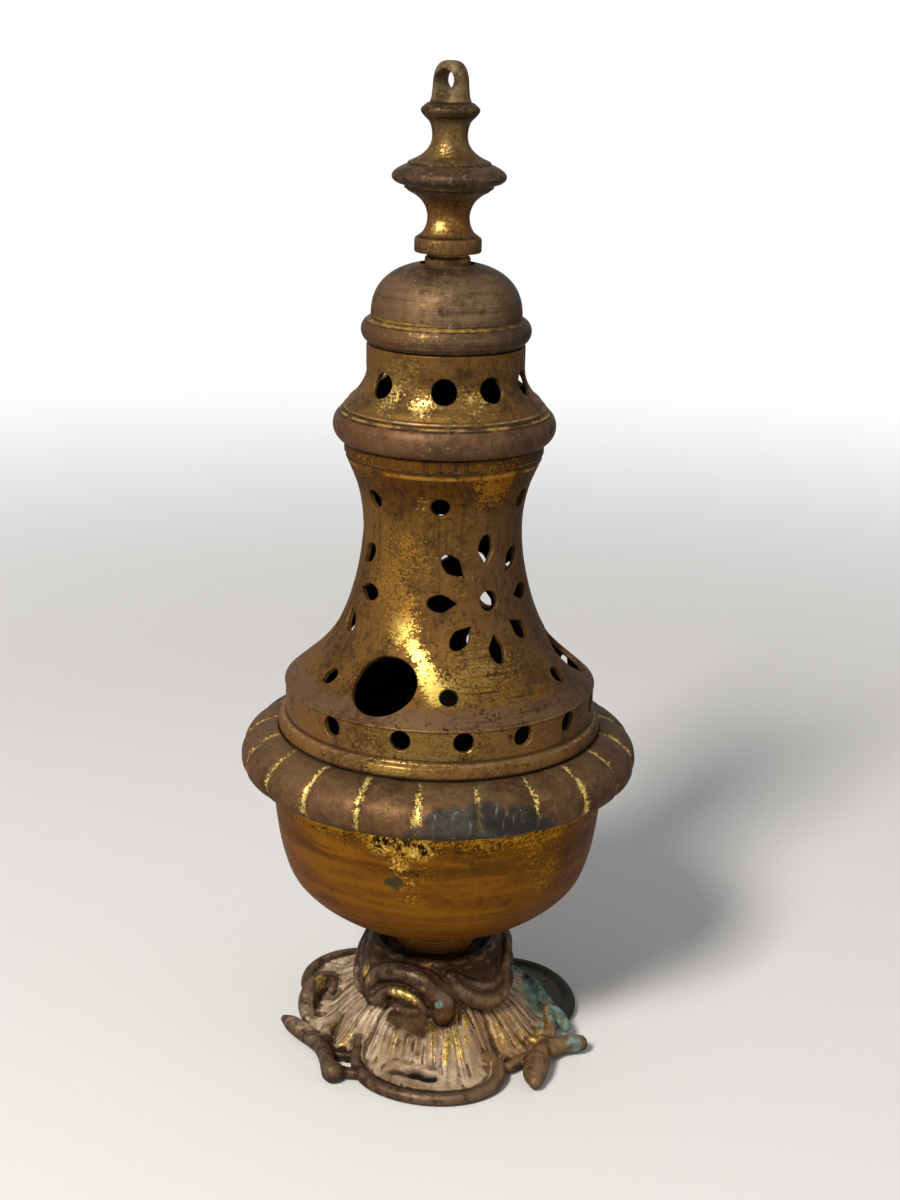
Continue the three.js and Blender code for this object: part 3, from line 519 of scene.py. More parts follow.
# %% Chain eye
eye_blank = turned("eye_blank", raised([(0, 33), (5.3, 33), *sweep([
    (5.3, 34.3), (4.85, 35.4), (4.6, 37), (4.45, 39), (4.2, 40.8), (3.6, 42.3), (2.6, 43.4),
    (1.2, 43.85), (0, 43.9)], 26)], fin_base), steps=72)
eye_blank.data.transform(Matrix.Diagonal((1, 0.8, 1, 1)))
eye_bore = turned("eye_bore", [
    (0, -8), (3.3, -8), (2.8, -3.4), (2.3, -2.4), (1.9, -1.4), (1.8, 0), (1.9, 1.4), (2.3, 2.4),
    (2.8, 3.4), (3.3, 8), (0, 8)], steps=64)
eye_bore.data.transform(Matrix.Rotation(math.pi / 2, 4, "X"))
eye_bore.data.transform(Matrix.Translation((0, 0, (fin_base + 39.5) * mm)))
cut(eye_blank, eye_bore)
eye_blank.data.transform(Matrix.Rotation(math.radians(-32), 4, "Z"))
cut(fin, eye_blank, "UNION")
smooth_under(30)
facts(fin)
dressed(fin, "cover", "finial_bronze", "finial")

# %% [markdown]
# ## The cast foot
# A rocaille casting: three shell lobes with a tube along their edge, forked leaves between them, and a
# crown of C scrolls and swags. Such a casting has soft edges everywhere, so its parts are made one by
# one as closed shapes, joined, and melted into one skin by a voxel remesh.
# The apron is turned first, as a flat ring of shares from 0 at the crown to 1 at the outline, and its
# vertices are then moved to the real outline and lifted into ribs.

# %% Foot outline
foot_core = 11.6
lobe_turns = [2, 120, 229]
lobe_sizes = [0.99, 0.95, 0.95]
lobe_edge = np.array([
    (-64, 24), (-52, 24.5), (-45, 29.9), (-37, 34), (-27, 38.2), (-15, 41), (-4, 42.2), (5, 42.6),
    (14, 41.9), (23, 39.4), (29, 35.8), (34, 32), (40, 28), (60, 24)])
web_edge = np.array([
    (-180, 31), (-90, 32.5), (-70, 34.5), (-58, 34.5), (-50, 33.5), (-44, 31.5), (-38, 28), (0, 28),
    (35, 29), (40, 30), (46, 33), (58, 34.5), (75, 33.5), (180, 31)])


def turned_back(azimuth):
    return (azimuth + 180) % 360 - 180


def raised_edge(azimuth):
    """The rear left lobe's edge curls up, as the photograph shows."""
    return 2.2 * np.exp(-((turned_back(azimuth - 232) / 24) ** 2))


def foot_reach(azimuth):
    reach = np.interp(turned_back(azimuth), *web_edge.T)
    for turn, size in zip(lobe_turns, lobe_sizes):
        reach = np.maximum(reach, size * np.interp(turned_back(azimuth - turn), *lobe_edge.T))
    return reach


# %% [markdown]
# The ribs of the shells fan out from the crown. They start under the scrolls and end at a flat trough
# inside the edge tube, where the front lobe is cracked. Each of them is worked out from the azimuth and
# the share, for the mesh here and later for the marks that the finish reads.

# %% Foot relief
foot_heights = np.array([
    (0, 17), (0.12, 14.2), (0.25, 12.3), (0.38, 10.8), (0.5, 9.1), (0.6, 7.0), (0.68, 4.9),
    (0.75, 3.6), (0.82, 3.0), (0.9, 2.7), (1, 2.6)])
rib_count = 92
rib_starts = np.array([
    (-180, 0.14), (-44, 0.14), (-34, 0.36), (-4, 0.38), (8, 0.20), (30, 0.14), (180, 0.14)])
rib_ends = np.array([(-180, 0.85), (-40, 0.84), (-28, 0.71), (-4, 0.74), (6, 0.84), (180, 0.86)])


def apron_height(share):
    return np.interp(share, *foot_heights.T)


def curl(azimuth, share):
    return raised_edge(azimuth) * np.clip(share * 2 - 1, 0, 1)


def wander(x, y, seed):
    """A smooth, repeatable wandering between -1 and 1."""
    total = sum(math.cos(seed * k) * np.sin(x * (0.7 + 0.83 * k) + y * (1.9 - 0.61 * k) + seed * k * k)
                for k in range(1, 7))
    return total / 3


def rib_stray(azimuth, share):
    """How far a rib strays from its straight ray, in ribs."""
    here = np.clip((180 - np.abs(azimuth)) / 20, 0, 1)
    bend = 1.6 * np.sin(np.radians(azimuth * 2)) * share**2
    return here * (0.7 * wander(azimuth / 11, share * 2.5, 1.7) + bend)


def crack_place(azimuth, radius):
    """Millimetres outside the crack's line, 1 along its length, and how far it gapes there."""
    line = np.interp(azimuth, [-20, -13, -8, -3, 3], [33.5, 33.2, 33.9, 34.5, 34.7])
    line = line + 0.3 * wander(azimuth / 9, 0 * azimuth, 2.6)
    along = np.clip((azimuth + 22) / 3, 0, 1) * np.clip((4 - azimuth) / 3, 0, 1)
    gape = np.interp(azimuth, [-21, -11, -8, 1, 4], [0.3, 0.45, 1, 1, 0.3])
    return radius - line, along, along * gape


def rib_zone(azimuth, share):
    start = np.clip((share - np.interp(azimuth, *rib_starts.T)) / 0.14, 0, 1)
    end = np.clip((np.interp(azimuth, *rib_ends.T) - share) / 0.10, 0, 1)
    gap, along, _ = crack_place(azimuth, foot_core + share * (foot_reach(azimuth) - foot_core))
    return start * end * (1 - along * np.exp(-(((gap + 0.7) / 3) ** 4)))


def ribs(azimuth, share):
    place = azimuth * rib_count / 360 + rib_stray(azimuth, share)
    wide, narrow = (np.cos(math.tau * place / split) / 2 for split in (2, 1))
    strong = 0.75 + 0.55 * wander(azimuth / 6, 0 * share, 4.1)
    return (0.75 * wide + 0.4 * narrow) * strong * rib_zone(azimuth, share)


def crack(azimuth, radius):
    gap, along, gape = crack_place(azimuth, radius)
    slit, lip = np.exp(-((gap / 0.8) ** 2)), np.exp(-(((gap + 1.5) / 0.75) ** 2))
    return lip * along * (0.8 + 0.3 * wander(azimuth / 9, 0 * azimuth, 5.2)) - 1.5 * slit * gape


# %% Foot apron
ring_start, ring_width, shell = 40, 30, 2.2
top_shares = np.linspace(0, 1, 88)
under_shares = np.array([0.72, 0.64, 0.55, 0.45, 0.35, 0.25, 0.12, 0])
top_line = np.column_stack([ring_start + ring_width * top_shares, apron_height(top_shares)])
under_line = np.column_stack(
    [ring_start + ring_width * under_shares, apron_height(under_shares) - shell])
ground_edge = [(ring_start + ring_width, 0), (ring_start + 0.85 * ring_width, 0)]
apron = turned("foot_apron", [*top_line, *ground_edge, *under_line], steps=720, softness=0)


def foot_places(spots):
    """Azimuth, radius and share of each spot, whose radius runs from the core to the outline."""
    azimuth = azimuth_of(spots[:, 0], spots[:, 1])
    radius = np.hypot(spots[:, 0], spots[:, 1])
    return azimuth, radius, (radius - foot_core) / (foot_reach(azimuth) - foot_core)


spots = read_vertices(apron)[0] / mm
azimuth, radius, _ = foot_places(spots)
share = (radius - ring_start) / ring_width
radius = foot_core + share * (foot_reach(azimuth) - foot_core)
on_top = spots[:, 2] > apron_height(share) - 0.01
lift = ribs(azimuth, share) + crack(azimuth, radius) + 0.15 * wander(azimuth / 3, radius, 3.3)
height = spots[:, 2] + np.where(on_top & (share < 0.995), lift, 0)
height += np.where(on_top, curl(azimuth, share), 0)
move_vertices(apron, np.column_stack([*around(azimuth, radius), height]) * mm)

# %% Openwork
for azimuth, radius, size in ((-50.5, 30.8, 1.5), (41, 30.6, 1.4), (-86, 30.2, 1.7), (158, 31, 1.6)):
    punch = turned("openwork", [(0, -3), (size, -3), (size, 14), (0, 14)], steps=32)
    punch.data.transform(Matrix.Translation((*around(azimuth, radius * mm), 0)))
    cut(apron, punch)
facts(apron)

# %% [markdown]
# ### Rods, leaves and scrolls
# Everything on the apron is a rod of changing thickness along a smooth path, with round ends. Each
# point of a path is an azimuth, a radius, a height and the rod's own radius there.

# %% Rods
def round_end(end, before):
    """Points beyond the end of a rod, where its radius shrinks as a ball's."""
    way = (end - before)[:3] / np.linalg.norm((end - before)[:3])
    return [(*(end[:3] + way * end[3] * math.sin(turn)), end[3] * math.cos(turn))
            for turn in np.radians([22, 45, 65, 82])]


def rod(name, path, turn=0, size=1, beads=0):
    azimuth, radius, height, thick = np.array(path).T
    path = np.column_stack([*around(azimuth + turn, radius * size), height, thick])
    line = np.array(sweep(path, 8 * len(path)))
    if beads:
        line[:, 3] *= 1 + 0.16 * np.sin(np.linspace(0, math.tau * beads, len(line)))
    line = np.vstack([round_end(line[0], line[1])[::-1], line, round_end(line[-1], line[-2])])
    bpy.ops.object.select_all(action="DESELECT")
    bpy.ops.curve.primitive_nurbs_path_add(radius=mm)
    piece = bpy.context.object
    piece.name = name
    piece.data.splines.clear()
    spline = piece.data.splines.new("POLY")
    spline.points.add(len(line) - 1)
    for point, (x, y, z, thick) in zip(spline.points, line):
        point.co = (x * mm, y * mm, z * mm, 1)
        point.radius = thick
    piece.data.bevel_depth = mm
    piece.data.bevel_resolution = 4
    piece.data.use_fill_caps = True
    bpy.ops.object.convert(target="MESH")
    return bpy.context.object


# %% Rods of the lobes
edge_tube = [(-47, 25.8, 5, 0.9), (-44.5, 27.8, 3.2, 1.4), (-41, 30, 2.3, 1.7), (-36, 33, 1.9, 1.8),
    (-26.5, 37.4, 1.8, 1.8), (-15, 40.2, 1.7, 1.7), (-4, 41.6, 1.7, 1.7), (5, 42, 1.7, 1.7),
    (14, 41.3, 1.8, 1.8), (23, 38.8, 1.9, 2), (28.5, 35.4, 2.2, 2.2), (30.5, 32.2, 2.8, 2.3),
    (28.5, 29.8, 3.6, 2.2), (25, 29.8, 4, 2.5)]
left_rods = {
    "horn": [(-83, 33.6, 1.8, 1.7), (-90, 34.2, 3.2, 2.3), (-97, 34, 4.6, 2.7), (-103, 33, 5.8, 2.8),
        (-108, 31.2, 6.6, 2.5), (-109.5, 29.2, 6.6, 2.1), (-106, 27.9, 6.2, 1.6),
        (-101, 28.2, 5.8, 1.2)],
    "left_leaf": [(-84, 40, 2.2, 1.1), (-79, 38.4, 2.7, 2.1), (-72, 36.6, 3, 2.5),
        (-64, 35.3, 3.2, 2.4), (-57, 35, 3.1, 2.2), (-49, 36.4, 2.7, 2.1), (-42.5, 39, 2.6, 2.3),
        (-39, 40.4, 2.9, 2.9)],
    "left_stem": [(-70, 27, 6.4, 1.2), (-64, 31, 4.6, 1.6), (-56, 33.6, 3.4, 1.7)],
    "left_link": [(-40, 39.2, 2.3, 1.7), (-33, 36.4, 2, 1.4)],
    "crown_knob": [(-58, 17.6, 22.6, 1.7), (-63, 18.2, 20, 2.5), (-66, 18.6, 17, 2.6),
        (-63, 18.9, 14, 2.2), (-55, 19.6, 12.4, 1.7)],
    "acanthus_edge": [(120, 25.5, 8.8, 1.1), (105, 28.2, 7.6, 1.4), (94, 29.4, 6.8, 1.5),
        (86, 31.4, 6, 1.6), (80, 34.4, 5, 1.7), (76, 36.2, 4, 1.6)],
    "acanthus_tip": [(86, 30.6, 6.2, 1.3), (74, 32, 5.6, 1.6), (66, 33.8, 4.6, 1.5)]}
leaf_rods = {
    "stem": [(58, 31, 4.2, 1.8), (58, 34, 3.6, 2.3), (57, 36, 3.2, 2.4)],
    "near_leaf": [(56, 35.2, 3.2, 2.4), (49.5, 36.4, 3.2, 3.0), (43.5, 38.6, 3, 3.4),
        (39.8, 40.8, 2.7, 3.0), (37.8, 42.6, 2.3, 1.9)],
    "far_leaf": [(58, 35.8, 3.2, 2.4), (62.5, 37.4, 3.4, 2.3), (66, 39.6, 3.3, 2.4),
        (68, 41.4, 3, 2.3)],
    "leaf_knob": [(61, 31.5, 4.8, 1.6), (64, 32.6, 4.6, 1.8)],
    "leaf_link": [(46, 33.2, 3.2, 1.4), (36, 33.4, 2.6, 1.4)]}

# %% [markdown]
# The crown's scrolls lie on its wall at these places. The front scroll, its beaded inner ridge and
# the swag beside it were measured in the photograph, and their repeats round the back lie closer to
# the wall.

# %% Rods of the crown
scroll_rods = {
    "scroll": [(-39.5, 20.4, 16.4, 1.8), (-44, 20.6, 14.6, 1.9), (-50, 20.6, 14.8, 1.9),
        (-53, 20.3, 17, 2), (-50, 19.8, 20, 2.1), (-39, 19.3, 22.6, 2.3), (-25, 19.2, 23.7, 2.5),
        (-11, 19.6, 23, 2.6), (0, 20.4, 20.4, 2.6), (7.5, 21.3, 17.2, 2.7), (6.8, 21.8, 14.4, 3.1)],
    "scroll_inside": [(-38.5, 20.3, 17.4, 1.1), (-29, 20.6, 18.6, 1.5), (-18, 20.8, 18.4, 1.5),
        (-9.5, 20.9, 16.4, 1.3), (-4.5, 20.9, 14, 0.9)],
    "scroll_vein": [(-6, 18.9, 24.9, 0.7), (4.7, 20, 22.6, 0.9), (11.8, 20.8, 18.6, 0.9),
        (15.8, 21, 14.4, 0.9), (15.2, 20.8, 11, 0.7)],
    "swag_low": [(12, 19.4, 23.6, 1.4), (19.5, 20, 19.8, 1.9), (33, 20.3, 16, 2.2),
        (52, 20.3, 13.8, 2.3), (67, 19.8, 14.8, 2.2), (77, 19, 17.8, 2), (84, 17.9, 21.6, 1.8),
        (89, 16.8, 24.6, 1.4)],
    "swag_high": [(14, 18.6, 23.6, 1.2), (26.3, 19, 20.9, 1.6), (42.5, 19.2, 18.2, 1.7),
        (58, 18.9, 17.6, 1.6), (70, 18.2, 20, 1.4), (76, 17.2, 23.4, 1)]}
ornament = []
for turn, size, points in zip((0, 118, 227), lobe_sizes, (14, 14, 11)):
    path = [(azimuth, radius, height + raised_edge(azimuth + turn), thick)
            for azimuth, radius, height, thick in edge_tube[:points]]
    ornament.append(rod("edge_tube", path, turn, size))
for turn, size in ((0, 1), (121, 0.96), (235, 0.96)):
    ornament += [rod(name, path, turn, size, beads=9 if name == "scroll_inside" else 0)
                 for name, path in scroll_rods.items()]
ornament += [rod(name, path) for name, path in left_rods.items()]
ornament += [rod(name, path, turn) for turn in (0, 120) for name, path in leaf_rods.items()]
print("rods:", len(ornament))

# %% Crown and skin
crown = turned("foot_crown", [
    (3.3, 18.8), (11.5, 18.8), (12.8, 12.6), (17.4, 12.4), (18.6, 15), (18.9, 18.4), (18.6, 21.6),
    (17.9, 24.4), (17.1, 26.2), (16.2, 26.8), (15, 26.5), (13.2, 24.2), (12.2, 22.8), (9.3, 22.2),
    (3.3, 22.2)], steps=120, softness=0.3)
for vertex in crown.data.vertices:
    radius = math.hypot(vertex.co.x, vertex.co.y) / mm
    if radius > 14:
        bend = math.atan2(vertex.co.x, -vertex.co.y)
        wave = 1 + 0.014 * math.sin(9 * bend + 0.5) + 0.012 * math.sin(17 * bend + vertex.co.z / mm)
        vertex.co.x, vertex.co.y = vertex.co.x * wave, vertex.co.y * wave
foot = joined([apron, crown, *ornament])
foot.name = foot.data.name = "cast_foot"
modified(foot, "REMESH", mode="VOXEL", voxel_size=0.51 * mm)
modified(foot, "SMOOTH", factor=0.5, iterations=2)
facts(foot)

# %% [markdown]
# The casting stands on a ground edge, so whatever reaches below the table is flattened. The hollows are
# found by comparing each vertex with a smoothed copy: where the copy lies further out, the surface is
# hollow, and there the gilding and the grime stay. Four more marks say where the ribs, the trough and
# the crack are on the apron's own skin, and how far each rib strays from its ray.

# %% Hollows of the foot
def hollowness(piece, rounds):
    spots, normals = read_vertices(piece)
    count = len(spots)
    ends = np.empty(len(piece.data.edges) * 2, np.int64)
    piece.data.edges.foreach_get("vertices", ends)
    ends = ends.reshape(-1, 2)
    pairs = np.concatenate([ends, ends[:, ::-1]])
    share = np.bincount(pairs[:, 0], minlength=count)[:, None]
    smooth = spots.copy()
    for _ in range(rounds):
        total = np.column_stack([np.bincount(pairs[:, 0], column[pairs[:, 1]], count)
                                 for column in smooth.T])
        smooth = 0.5 * smooth + 0.5 * total / share
    return np.sum((smooth - spots) * normals, axis=1) / mm


# %% Marks of the foot
spots, normals = read_vertices(foot)
spots[:, 2] = np.maximum(spots[:, 2], 0)
move_vertices(foot, spots)
azimuth, radius, share = foot_places(spots / mm)
expected = (apron_height(share) + ribs(azimuth, share) + crack(azimuth, radius)
            + curl(azimuth, share))
on_skin = np.clip(1.9 - np.abs(spots[:, 2] / mm - expected) / 0.5, 0, 1)
on_skin *= np.clip(normals[:, 2] * 4, 0, 1)
gap, _, gape = crack_place(azimuth, radius)
slit = 1.6 * np.exp(-(((gap + 0.1) / 0.75) ** 2)) * gape * np.clip(normals[:, 2] * 8 + 5, 0, 1)
marks = {"hollow": hollowness(foot, 6) / 0.05, "deep": hollowness(foot, 60) / 0.4,
         "ribbed": rib_zone(azimuth, share) * on_skin, "stray": rib_stray(azimuth, share),
         "trough": (np.clip((share - np.interp(azimuth, *rib_ends.T) + 0.12) / 0.1, 0, 1)
                    * np.clip((0.915 - share) / 0.03, 0, 1) * on_skin), "slit": slit}
for name, values in marks.items():
    mark = foot.data.attributes.new(name, "FLOAT", "POINT")
    limit = 4 if name == "stray" else 1
    mark.data.foreach_set("value", np.clip(values, -limit, limit).astype(np.float32))
    print(name, np.percentile(values, [2, 50, 98]).round(3))
alone(foot)
bpy.ops.object.shade_smooth()
dressed(foot, "base", "cast_bronze", "foot_casting")

# %% [markdown]
# ## Finishes
# The whole censer is brass that was once gilt. The gilding is left in specks and patches, and where it
# is gone the brass is brown and satin. So one recipe makes all the finishes: a ground, gilding whose
# amount says how much is left, and for each piece its own stains, painted shade and painted highlights
# at measured places. A sum of three noises, with the amount added, is cut by a narrow step, so the
# specks have crisp edges.

# %% Shader maths
class Value:
    """A socket whose sums can be written as Python: each one adds a Math node."""

    def __init__(self, tree, socket):
        self.tree, self.socket = tree, socket

    def maths(self, operation, first, second=None):
        values = {0: first} if second is None else {0: first, 1: second}
        return add_node(self.tree, "Math", {"operation": operation}, values)

    def __add__(self, other):
        return self.maths("ADD", self, other)

    def __mul__(self, other):
        return self.maths("MULTIPLY", self, other)

    def __sub__(self, other):
        return self.maths("SUBTRACT", self, other)

    def __rsub__(self, other):
        return self.maths("SUBTRACT", other, self)

    def most(self, other):
        return self.maths("MAXIMUM", self, other)

    def size(self):
        return self.maths("ABSOLUTE", self)

    def fraction(self):
        return self.maths("FRACT", self)

    def step(self, low, high):
        """0 at low, 1 at high, and smooth between them. High may be the smaller one."""
        return add_node(self.tree, "MapRange", {"interpolation_type": "SMOOTHSTEP"},
                        {"Value": self, "From Min": low, "From Max": high})

    __radd__ = __add__
    __rmul__ = __mul__


def add_node(tree, kind, settings=None, values=None, output=0):
    made = tree.nodes.new("ShaderNode" + kind)
    for name, value in (settings or {}).items():
        setattr(made, name, value)
    for name, value in (values or {}).items():
        if isinstance(value, Value):
            tree.links.new(value.socket, made.inputs[name])
        else:
            made.inputs[name].default_value = value
    return Value(tree, made.outputs[output])


# %% [markdown]
# ### The recipe
# Three scales carry the likeness: patches as wide as a thumb, specks of half a millimetre, and lathe
# lines round the axis, which come from noise that is squeezed along Z. A colour is written as its
# linear red, green and blue in thousandths.

# %% Masks and colours
class Finish:
    """A material under construction. Heights are millimetres above its piece's own level."""

    def __init__(self, name, level=0):
        self.material = bpy.data.materials.new(name)
        self.material.use_nodes = True
        self.tree = self.material.node_tree
        self.shader = self.tree.nodes["Principled BSDF"]
        self.place = self.node("TexCoord", output="Object")
        self.level = level

    def node(self, kind, settings=None, values=None, output=0):
        return add_node(self.tree, kind, settings, values, output)

    def noise(self, scale, detail=5, rough=0.6, warp=0, where=None):
        return self.node("TexNoise", values={
            "Vector": where or self.place, "Scale": scale, "Detail": detail, "Roughness": rough,
            "Distortion": warp})

    def drawn_out(self, scales, detail, rough=0.6, warp=0, turn=(0, 0, 0)):
        """Noise with a scale of its own along each axis."""
        where = self.node("Mapping", values={"Vector": self.place, "Scale": scales, "Rotation": turn})
        return self.noise(1, detail, rough, warp, where)

    def mark(self, name):
        return self.node("Attribute", {"attribute_name": name}, output="Fac")

    def axis(self, letter):
        return self.node("SeparateXYZ", values={0: self.place}, output=letter)

    def turn(self):
        """The azimuth in degrees, 0 towards the viewer and growing towards +X."""
        across = self.axis("X")
        return across.maths("ARCTAN2", across, self.axis("Y") * -1) * math.degrees(1)

    def near(self, azimuth, radius, height, size, soft=1.0):
        """1 at a point of the piece, and 0 from a distance of size millimetres."""
        point = (*around(azimuth, radius * mm), (self.level + height) * mm)
        away = self.node("VectorMath", {"operation": "DISTANCE"}, {0: self.place, 1: point},
                         output="Value")
        return away.step(size * mm, size * mm * (1 - soft))

    def line(self, height, width):
        """1 on a thin line round the axis."""
        away = (self.axis("Z") - (self.level + height) * mm).size()
        return away.step(width * mm, width * 0.3 * mm)

    def rise(self, low, high):
        """0 at the height low and 1 at high."""
        return self.axis("Z").step((self.level + low) * mm, (self.level + high) * mm)

    def band(self, low, high, soft=1.2):
        return self.rise(low, low + soft) * self.rise(high, high - soft)

    def spots(self, *places):
        """The highest of several near() marks. A fifth number is a mark's strength."""
        return reduce(Value.most, [weighed(self.near(*place[:4]), *place[4:]) for place in places])

    def lines(self, *places):
        """The sum of several line() marks. A third number is a mark's strength."""
        return reduce(Value.__add__, [weighed(self.line(*place[:2]), *place[2:]) for place in places])

    def mix(self, share, *colours):
        """A plain colour's red, green and blue are in thousandths."""
        first, second = [one if isinstance(one, Value) else (*(part / 1000 for part in one), 1)
                         for one in colours]
        return self.node("Mix", {"data_type": "RGBA"}, {0: share, 6: first, 7: second}, output=2)

    def painted(self, under, *coats):
        """The colour under all coats. A coat is a share and a colour, or a share and a ground."""
        for share, *coat in coats:
            under = self.mix(share, under, self.ground(*coat) if len(coat) > 1 else coat[0])
        return under

    def done(self, colour, roughness, bump=None, height=0.1, metal=0.9):
        values = {"Base Color": colour, "Roughness": roughness, "Metallic": metal,
                  "Specular IOR Level": 0.10, "Specular Tint": (0.22, 0.14, 0.08, 1)}
        if bump is not None:
            values["Normal"] = self.node(
                "Bump", values={"Height": bump, "Distance": height * mm, "Strength": 1})
        for name, value in values.items():
            if isinstance(value, Value):
                self.tree.links.new(value.socket, self.shader.inputs[name])
            else:
                self.shader.inputs[name].default_value = value
        return self.material

    # The recipe for worn metal
    def lathe_lines(self, scale=2400):
        return self.drawn_out((110, 110, scale), 4)

    def gilding(self, amount):
        patches, specks = self.noise(75, 4, 0.55), self.noise(1400, 6, 0.75, warp=0.3)
        left = patches * 0.55 + specks * 0.9 + self.lathe_lines() * 0.25 + amount
        return left.step(1.29, 1.37)

    def specks(self, amount):
        """Specks, and more of them where the amount is higher."""
        grain = self.noise(1150, 6, 0.78) * 0.7 + self.noise(260, 4) * 0.3
        return (grain + amount).step(0.60, 0.66)

    def ground(self, light, dark, share=0.5):
        clouds, mottle = self.noise(42, 7, 0.68), self.noise(480, 7, 0.75)
        return self.mix((clouds * 0.6 + mottle * 0.4).step(share - 0.09, share + 0.09), dark, light)

    def painted_shade(self, share):
        """Painted shade on the right: all of it round azimuth 95, none 80 degrees from there."""
        return (self.turn() - 95).size().step(80, 15) * share

    def pits(self, scale=1500):
        return self.noise(scale, 2, 0.5).step(0.30, 0.42)

    def surface(self, lines=0.5, scale=2400):
        """Height of the worn surface: lathe lines, dull waves and pits."""
        return self.lathe_lines(scale) * lines + self.noise(160, 3) * 0.6 + self.pits() * 0.35


def weighed(value, strength=None):
    return value * strength if strength else value


brown, dark_brown, pale_speck_tint = (92, 48, 23), (30, 16, 8), (300, 215, 135)
dull_gold, gold, bright_gold = (205, 120, 30), (360, 220, 50), (720, 520, 160)

# %% [markdown]
# ### Worn gilt
# Bell and turret. The bell keeps most gilding beside the smoke hole, where the gold is also painted
# brighter as a highlight. It has orange tints at its neck, a painted sheen of orange and gold on its
# left and a thin one under the neck ring, painted shade on its right, and it is bare and brown on the
# shoulder
# over the band. Brushing left fine lines: round the flare, and down the neck. The turret's torus has
# lost all its gilding, which a mask on the height shows.

# %% Bell finish
def bell_finish():
    finish = Finish("worn_gilt_bell", rest)
    patch = finish.spots(
        (-20, 24, 31, 8, 0.6), (-15, 25, 28, 4), (-11, 26.2, 26, 4.5), (-8, 27.4, 23.7, 4.8),
        (-5.5, 29, 21.5, 5), (-3, 30.7, 19.6, 5.2), (-1, 32, 18, 4.6), (2, 30, 20, 9, 0.45))
    high = finish.near(-13, 21, 63, 5)
    # painted sheen: more gold and orange on the left of the bell, where a band of highlight fell
    left_sheen = finish.spots((-34, 21, 50, 17), (-22, 23, 36, 9))
    low_flare = finish.near(20, 32, 18, 24)
    shoulder, belt = finish.band(10.8, 16.5, 2.2), finish.band(0.4, 11.6, 0.5)
    neck = finish.rise(57, 66)
    neck_patch = finish.near(30, 21.5, 64, 13)
    bare_neck = finish.spots((3, 21.6, 65, 8), (-34, 21.6, 63, 9, 0.6))
    gilt = finish.gilding(
        0.34 + patch * 0.26 + high * 0.12 + left_sheen * 0.07 + low_flare * 0.13 + neck_patch * 0.14
        - shoulder * 0.16 - bare_neck * 0.18 + belt * finish.near(-12, 39, 6, 24) * 0.17)
    streaks = finish.drawn_out((900, 900, 45), 3)
    warm = (neck.most(left_sheen * 0.8) * 0.5 + finish.noise(120, 5) * 0.5
            + finish.noise(900, 5, 0.7) * 0.5)
    base = finish.painted(
        finish.ground((132, 64, 15), (36, 18, 7), 0.47),
        (finish.near(50, 24, 42, 30) * 0.8, brown, dark_brown, 0.46),
        (neck * 0.8, (85, 34, 5), (26, 12, 4), 0.5),
        (streaks.step(0.52, 0.66) * neck.most(0.5), dark_brown),
        (shoulder * 0.85, (110, 62, 34), (42, 23, 12), 0.44),
        (belt * 0.85, (165, 82, 26), (60, 29, 11), 0.46),
        (warm.step(0.98, 1.10) * 0.75, (105, 34, 2)),
        (bare_neck * streaks.step(0.66, 0.40) * 0.7, (75, 26, 2)),
        (finish.near(-21, 25, 31, 5) * streaks.step(0.62, 0.45) * 0.8, (240, 82, 10)))
    scratches = finish.drawn_out((60, 60, 1500), 3, warp=0.6, turn=(0.1, 0.06, 0))
    # painted highlight: brighter gold in the patch by the smoke hole and high on the neck
    bright = (finish.noise(500, 6, 0.7) * 0.7 + patch.most(high) * 0.65).step(0.42, 0.85)
    leaf = finish.mix((neck * 1.4).most(left_sheen * 0.8), dull_gold, (270, 120, 13))
    edge = finish.lines((3.15, 0.3, 0.5), (11.75, 0.3, 0.2), (70.7, 0.3, 0.6))
    tint = finish.painted(
        base,
        (gilt, finish.mix(bright, leaf, (520, 350, 80))),
        (scratches.step(0.56, 0.62) * finish.near(26, 32, 19, 24) * 0.85, dark_brown),
        (finish.specks(0.05 + low_flare * 0.03), (24, 12, 5)),
        # painted shade on the right side
        (finish.painted_shade(0.45), dark_brown),
        (edge * finish.noise(500, 5, 0.7).step(0.42, 0.6), (300, 210, 110)),
        (finish.lines((0.1, 0.5), (4, 0.6, 0.8), (70.2, 0.5, 0.6)), dark_brown),
        # painted sheen: a thin bright amber line under the neck ring
        (finish.line(69, 0.7) * finish.noise(200, 5).step(0.4, 0.55) * 0.8, (360, 170, 25)))
    rough = 0.44 - gilt * 0.10 + finish.noise(500, 4) * 0.10
    return finish.done(tint, rough, finish.surface(0.9) + gilt * 0.5, 0.06, 0.45 + gilt * 0.45)


